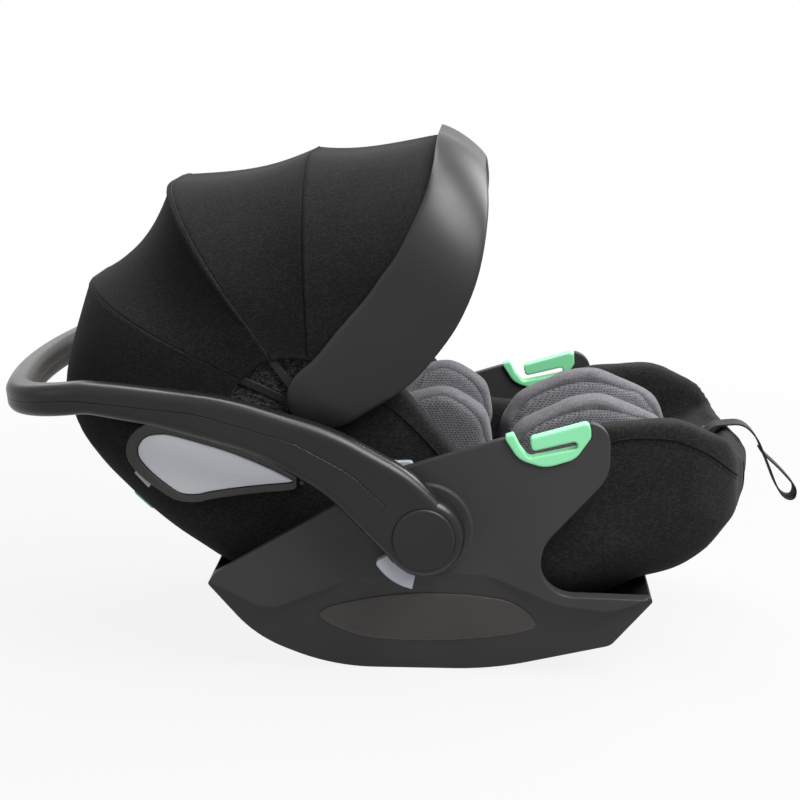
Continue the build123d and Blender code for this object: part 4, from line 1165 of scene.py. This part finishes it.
def archLine(bow, turn=0.0, rise=0.0, spread=0.0, corner=canopy["corner"], lift=-0.1, tuck=0.0):
    # line over a bow; a tuck draws its ends in under the cloth, clear of the next bow when folded
    line = []
    angle = bow[0] + turn
    for y, r in archPoints(angle, bow[2] + spread, bow[1] + rise, corner):
        above = r - hemAt(angle)
        if above >= lift:
            share = max(0.0, 1 - (above - lift) / canopy["tuckRun"]) * tuck
            line.append(canopyPlace(angle, y - np.sign(y) * share, r))
    return [tuple(p) for p in smoothPath(line, 2)]


def buildCanopy():
    bow1, bow2, bow3 = canopy["bows"]
    edge, corner = canopy["visorEdge"], canopy["corner"]
    first = canopy["stations"][0]
    # rear piece runs from the rim of the bucket to the first bow
    rows = []
    for station in smoothPath(canopy["stations"] + [(*bow1, corner)], 8):
        angle, reach, width, bend = (float(v) for v in station)
        arch = archPoints(angle, width, reach, bend)
        rows.append([canopyPlace(angle, gathered(angle, y, r, 0), r) for y, r in arch])
    buildPanel("canopyRear", rows, ["seat"], "canopy_panel_1")
    backSag, topSag, frontSag = canopy["sag"]
    rows = panelRows(bow1, bow2, backSag)
    buildPanel("canopyBack", rows, ["seat", "canopy_middle"], "canopy_panel_2")
    rows = panelRows(bow2, bow3, topSag)
    buildPanel("canopyTop", rows, ["canopy_middle", "canopy_front"], "canopy_panel_3")
    # the front edge turns up to the inside of the visor
    turned = panelRows(edge, canopy["under"], 0.0, (corner, canopy["visorCorner"]))
    rows = panelRows(bow3, edge, frontSag) + turned[4::4]
    buildPanel("canopyFront", rows, ["canopy_front", "visor"], "canopy_panel_4")
    # sleeves over the bows, seams beside them, and a bound hem at the bucket's rim
    sink = sleeve["sink"]
    sleeves = (("middleSleeve", bow2, 0.0036, "canopy_middle"), ("rearSleeve", bow1, 0.0028, "seat"))
    for name, bow, radius, body in sleeves:
        line = archLine(bow, sleeve["turn"], sink, sink, lift=sleeve["lift"], tuck=sleeve["tuck"])
        welted(name, [line], body, "canopy_fabric", radius, "canopyCloth")
    welted("frontSeam", [archLine(bow3, 0.0, 0.3, 0.3)], "canopy_front", "canopy_fabric", 0.0008, "blackThread")
    welted("rearHem", [archLine(first, corner=first[3])], "seat", "canopy_fabric", 0.0022, "canopyCloth")
    line = archLine(bow2, -0.35, 0.4, 0.5, lift=9.0)
    sewn("middleSeam", [line], "canopy_middle", "canopy_fabric", **seamStitch)
    sewn("rearSeam", [archLine(bow1, -0.3, 0.2, 0.3)], "seat", "canopy_fabric", **seamStitch)
    print("canopy built")


buildCanopy()


# visor: a crowned moulded crescent, in run and rise of its own slope
visor = {
    "run": (0.819, -0.573),
    "rise": (0.573, 0.819),
    "back": [
        (-83, 292), (-76.5, 311), (-57, 329), (-32, 360), (-9, 386.5), (7, 409), (23, 431.5), (40, 465.5),
        (49, 487), (55, 511), (58, 534), (59, 541),
    ],
    "front": [
        (-72.5, 267), (-47.5, 257), (-30, 262), (-2, 278), (24, 294.5), (44, 312), (68, 341.5), (84, 367),
        (98, 400), (106, 433), (110, 470), (108.5, 496), (106, 508),
    ],
    "halfWidth": 179.5,
    "reach": 475.0,
    "corner": 120.0,
    "low": 176.0,
    "endRound": 42.0,
    "endSlip": 10,
    "crown": 4.5,
    "crownPower": 0.8,
    "thickness": 0.0042,
    "edge": 0.0014,
    "sideSteps": 44,
    "cornerSteps": 20,
    "topSteps": 8,
    "runSteps": 18,
}


def visorEdge(label):
    # where an edge lies along the slope, by height
    path = np.array(smoothPath(visor[label], 10))
    height, along = path @ np.array(visor["rise"]), path @ np.array(visor["run"])
    order = np.argsort(height)
    return lambda at: float(np.interp(at, height[order], along[order]))


def buildVisor():
    run, rise = np.array(visor["run"]), np.array(visor["rise"])
    rearAt, foreAt = visorEdge("back"), visorEdge("front")
    low, top, half, corner = visor["low"], visor["reach"], visor["halfWidth"], visor["corner"]
    turns = [pi / 2 * i / visor["sideSteps"] for i in range(visor["sideSteps"])]
    side = [(half, between(low, top - corner, 1 - cos(turn))) for turn in turns]
    arch = bothSides(side + roofPoints(half, top, corner, visor["cornerSteps"], visor["topSteps"]))
    rearFull, foreFull = (at(low + visor["endRound"]) for at in (rearAt, foreAt))
    middle = (rearFull + foreFull) / 2
    rows = []
    for i, (y, h) in enumerate(arch):
        near = max(0.0, (h - low) / visor["endRound"])
        rear, fore = rearAt(h), foreAt(h)
        if near < 1:
            # the lower ends close in a round
            pinch = np.sqrt(max(0.0, 1 - (1 - near) ** 2))
            slip = (1 - near) * visor["endSlip"]
            rear, fore = (between(middle, full, pinch) - slip for full in (rearFull, foreFull))
        a, b = arch[max(i - 1, 0)], arch[min(i + 1, len(arch) - 1)]
        across = np.array([b[0] - a[0], b[1] - a[1]])
        out = np.array([-across[1], across[0]]) / max(1e-6, np.linalg.norm(across))
        row = []
        for k in range(visor["runSteps"] + 1):
            t = k / visor["runSteps"]
            lift = visor["crown"] * (4 * t * (1 - t)) ** visor["crownPower"] * min(1.0, near + 0.2)
            wide, high = np.array([y, h]) + out * lift
            place = run * between(rear, fore, t) + rise * high
            row.append(metres(place[0], wide, place[1]))
        rows.append(row)
    shell = thicken(gridPiece("visorShell", rows), visor["thickness"], visor["edge"], offset=-1)
    dress(shell, "visorPlastic", "visor_plastic", "visor", "canopy_visor")
    print("visor:", len(shell.data.polygons), "faces")


buildVisor()


# side flaps: a rounded frame with a pale crowned inlay, and a catch tab that shows below it
flap = {
    "inlay": [
        (-211.5, 248.4), (-224.2, 246.5), (-232.1, 240.6), (-235.2, 233.4), (-234.7, 226.1), (-229.3, 217.5),
        (-219.8, 207.4), (-205.9, 196.0), (-196.1, 189.6), (-187.7, 187.5), (-176.4, 187.7), (-165.0, 190.4),
        (-139.4, 194.7), (-111.1, 198.3), (-84, 201.2), (-84.5, 204.5), (-110.8, 217.7), (-145.6, 231.6),
        (-180.6, 242.0), (-201.6, 247.5),
    ],
    "band": {"width": 8.2, "more": 3.6, "from": -190, "run": 45, "end": -77.5},
    "gap": 0.9,
    "near": 165.0,
    "far": 172.8,
    "sunk": 1.0,
    "crown": 1.6,
    "rings": 7,
    "barrel": {"place": (-72.0, 168.75, 206.0), "radius": 4.2, "length": 5.8},
    "tab": [
        (-240.6, 207.2), (-241.4, 206.0), (-240.5, 204.9), (-235, 199), (-229.2, 192.6), (-228.0, 191.6),
        (-226.7, 192.2), (-222, 196.8), (-205, 192), (-182, 195), (-178, 210), (-190, 219), (-220, 216),
        (-238.2, 209.4),
    ],
    "tabSpan": (156.6, 163.2),
    "edge": 0.0012,
    "inlayEdge": 0.0008,
}


def movedOut(ring, amounts):
    # closed outline moved square to itself
    ring = np.array(ring)
    along = np.roll(ring, -1, axis=0) - np.roll(ring, 1, axis=0)
    along /= np.linalg.norm(along, axis=1, keepdims=True)
    area = np.sum(ring[:, 0] * np.roll(ring[:, 1], -1) - ring[:, 1] * np.roll(ring[:, 0], -1))
    out = np.column_stack([along[:, 1], -along[:, 0]]) * (1 if area > 0 else -1)
    return ring + out * np.reshape(amounts, (-1, 1))


def ringSolid(name, outer, inner, near, far, side):
    # a band between two outlines, with a wall on each side
    loops = ((outer, near), (outer, far), (inner, far), (inner, near))
    points = [metres(x, side * y, z) for ring, y in loops for x, z in ring]
    return meshPiece(name, points, loopFaces(len(loops), len(outer), closed=True))


def discSolid(name, ring, near, far, side, crown=0.0):
    # a plate inside an outline, its outer face crowned in rings
    ring = np.array(ring)
    middle = ring.mean(axis=0)
    count, rings = len(ring), flap["rings"]
    points = [metres(x, side * near, z) for x, z in ring]
    for i in range(rings):
        share = 1 - i / rings
        y = far + crown * (1 - share ** 2)
        points += [metres(x, side * y, z) for x, z in between(middle, ring, share)]
    tip = len(points)
    points += [metres(middle[0], side * y, middle[1]) for y in (far + crown, near)]
    faces = loopFaces(rings + 1, count) + fanFaces(rings * count, count, tip)
    return meshPiece(name, points, faces + [face[::-1] for face in fanFaces(0, count, tip + 1)])


def addBarrel(rim, side):
    # knuckle of the hinge at the frame's narrow end
    barrel = flap["barrel"]
    x, y, z = barrel["place"]
    radius, depth = metres(barrel["radius"], barrel["length"])
    work = bmesh.new()
    work.from_mesh(rim.data)
    made = bmesh.ops.create_cone(work, cap_ends=True, segments=24, radius1=radius, radius2=radius, depth=depth)
    bmesh.ops.translate(work, verts=made["verts"], vec=metres(x, side * y, z))
    work.to_mesh(rim.data)
    work.free()


def buildFlaps():
    inlay = smoothPath(flap["inlay"], 5, closed=True)
    tabRing = smoothPath(flap["tab"], 4, closed=True)
    band, near, far = flap["band"], flap["near"], flap["far"]
    shares = [min(1.0, max(0.0, (band["from"] - p[0]) / band["run"])) for p in inlay]
    outer = movedOut(inlay, [band["width"] + band["more"] * share for share in shares])
    outer[:, 0] = np.minimum(outer[:, 0], band["end"])
    hole = movedOut(inlay, [flap["gap"]] * len(inlay))
    for side, hand in ((-1, "Right"), (1, "Left")):
        end = "_" + hand.lower()
        rim = ringSolid("flapFrame" + hand, outer, hole, near, far, side)
        addBarrel(rim, side)
        dress(softEdges(rim, flap["edge"]), "flapPlastic", "flap_plastic", "flap" + end, "flap_frame" + end)
        face = discSolid("flapInlay" + hand, inlay, near + 1, far - flap["sunk"], side, flap["crown"])
        dress(softEdges(face, flap["inlayEdge"]), "inlayPlastic", "flap_inlay", "flap" + end, "flap_panel" + end)
        tab = discSolid("flapTab" + hand, tabRing, *flap["tabSpan"], side)
        dress(softEdges(tab, flap["edge"]), "greyPlastic", "grey_plastic", "flap_catch" + end, "flap_tab" + end)
    print("flaps built")


buildFlaps()


# bare oval plate on the near side of the base, on the wall that tucks in
plate = {
    "outline": [(-56, 61), (-16, 39), (46, 34), (106, 38), (147, 46), (162, 57), (131, 83), (45, 90), (-31, 77)],
    "foot": 151.0,
    "lean": 34.0 / 112.0,
    "proud": 0.5,
    "rings": 6,
    "thickness": 0.0009,
    "edge": 0.0003,
}


def buildPlate():
    ring = np.array(smoothPath(plate["outline"], 8, closed=True))
    middle = ring.mean(axis=0)
    count, rings = len(ring), plate["rings"]
    flat = [spot for i in range(rings) for spot in between(middle, ring, 1 - i / rings)] + [middle]
    points = [metres(x, -(plate["foot"] + plate["lean"] * z + plate["proud"]), z) for x, z in flat]
    faces = loopFaces(rings, count) + fanFaces((rings - 1) * count, count, rings * count)
    film = thicken(smoothed(meshPiece("sidePlate", points, faces)), plate["thickness"], plate["edge"])
    dress(film, "platePlastic", "base_plastic", "base")
    print("plate laid")


buildPlate()
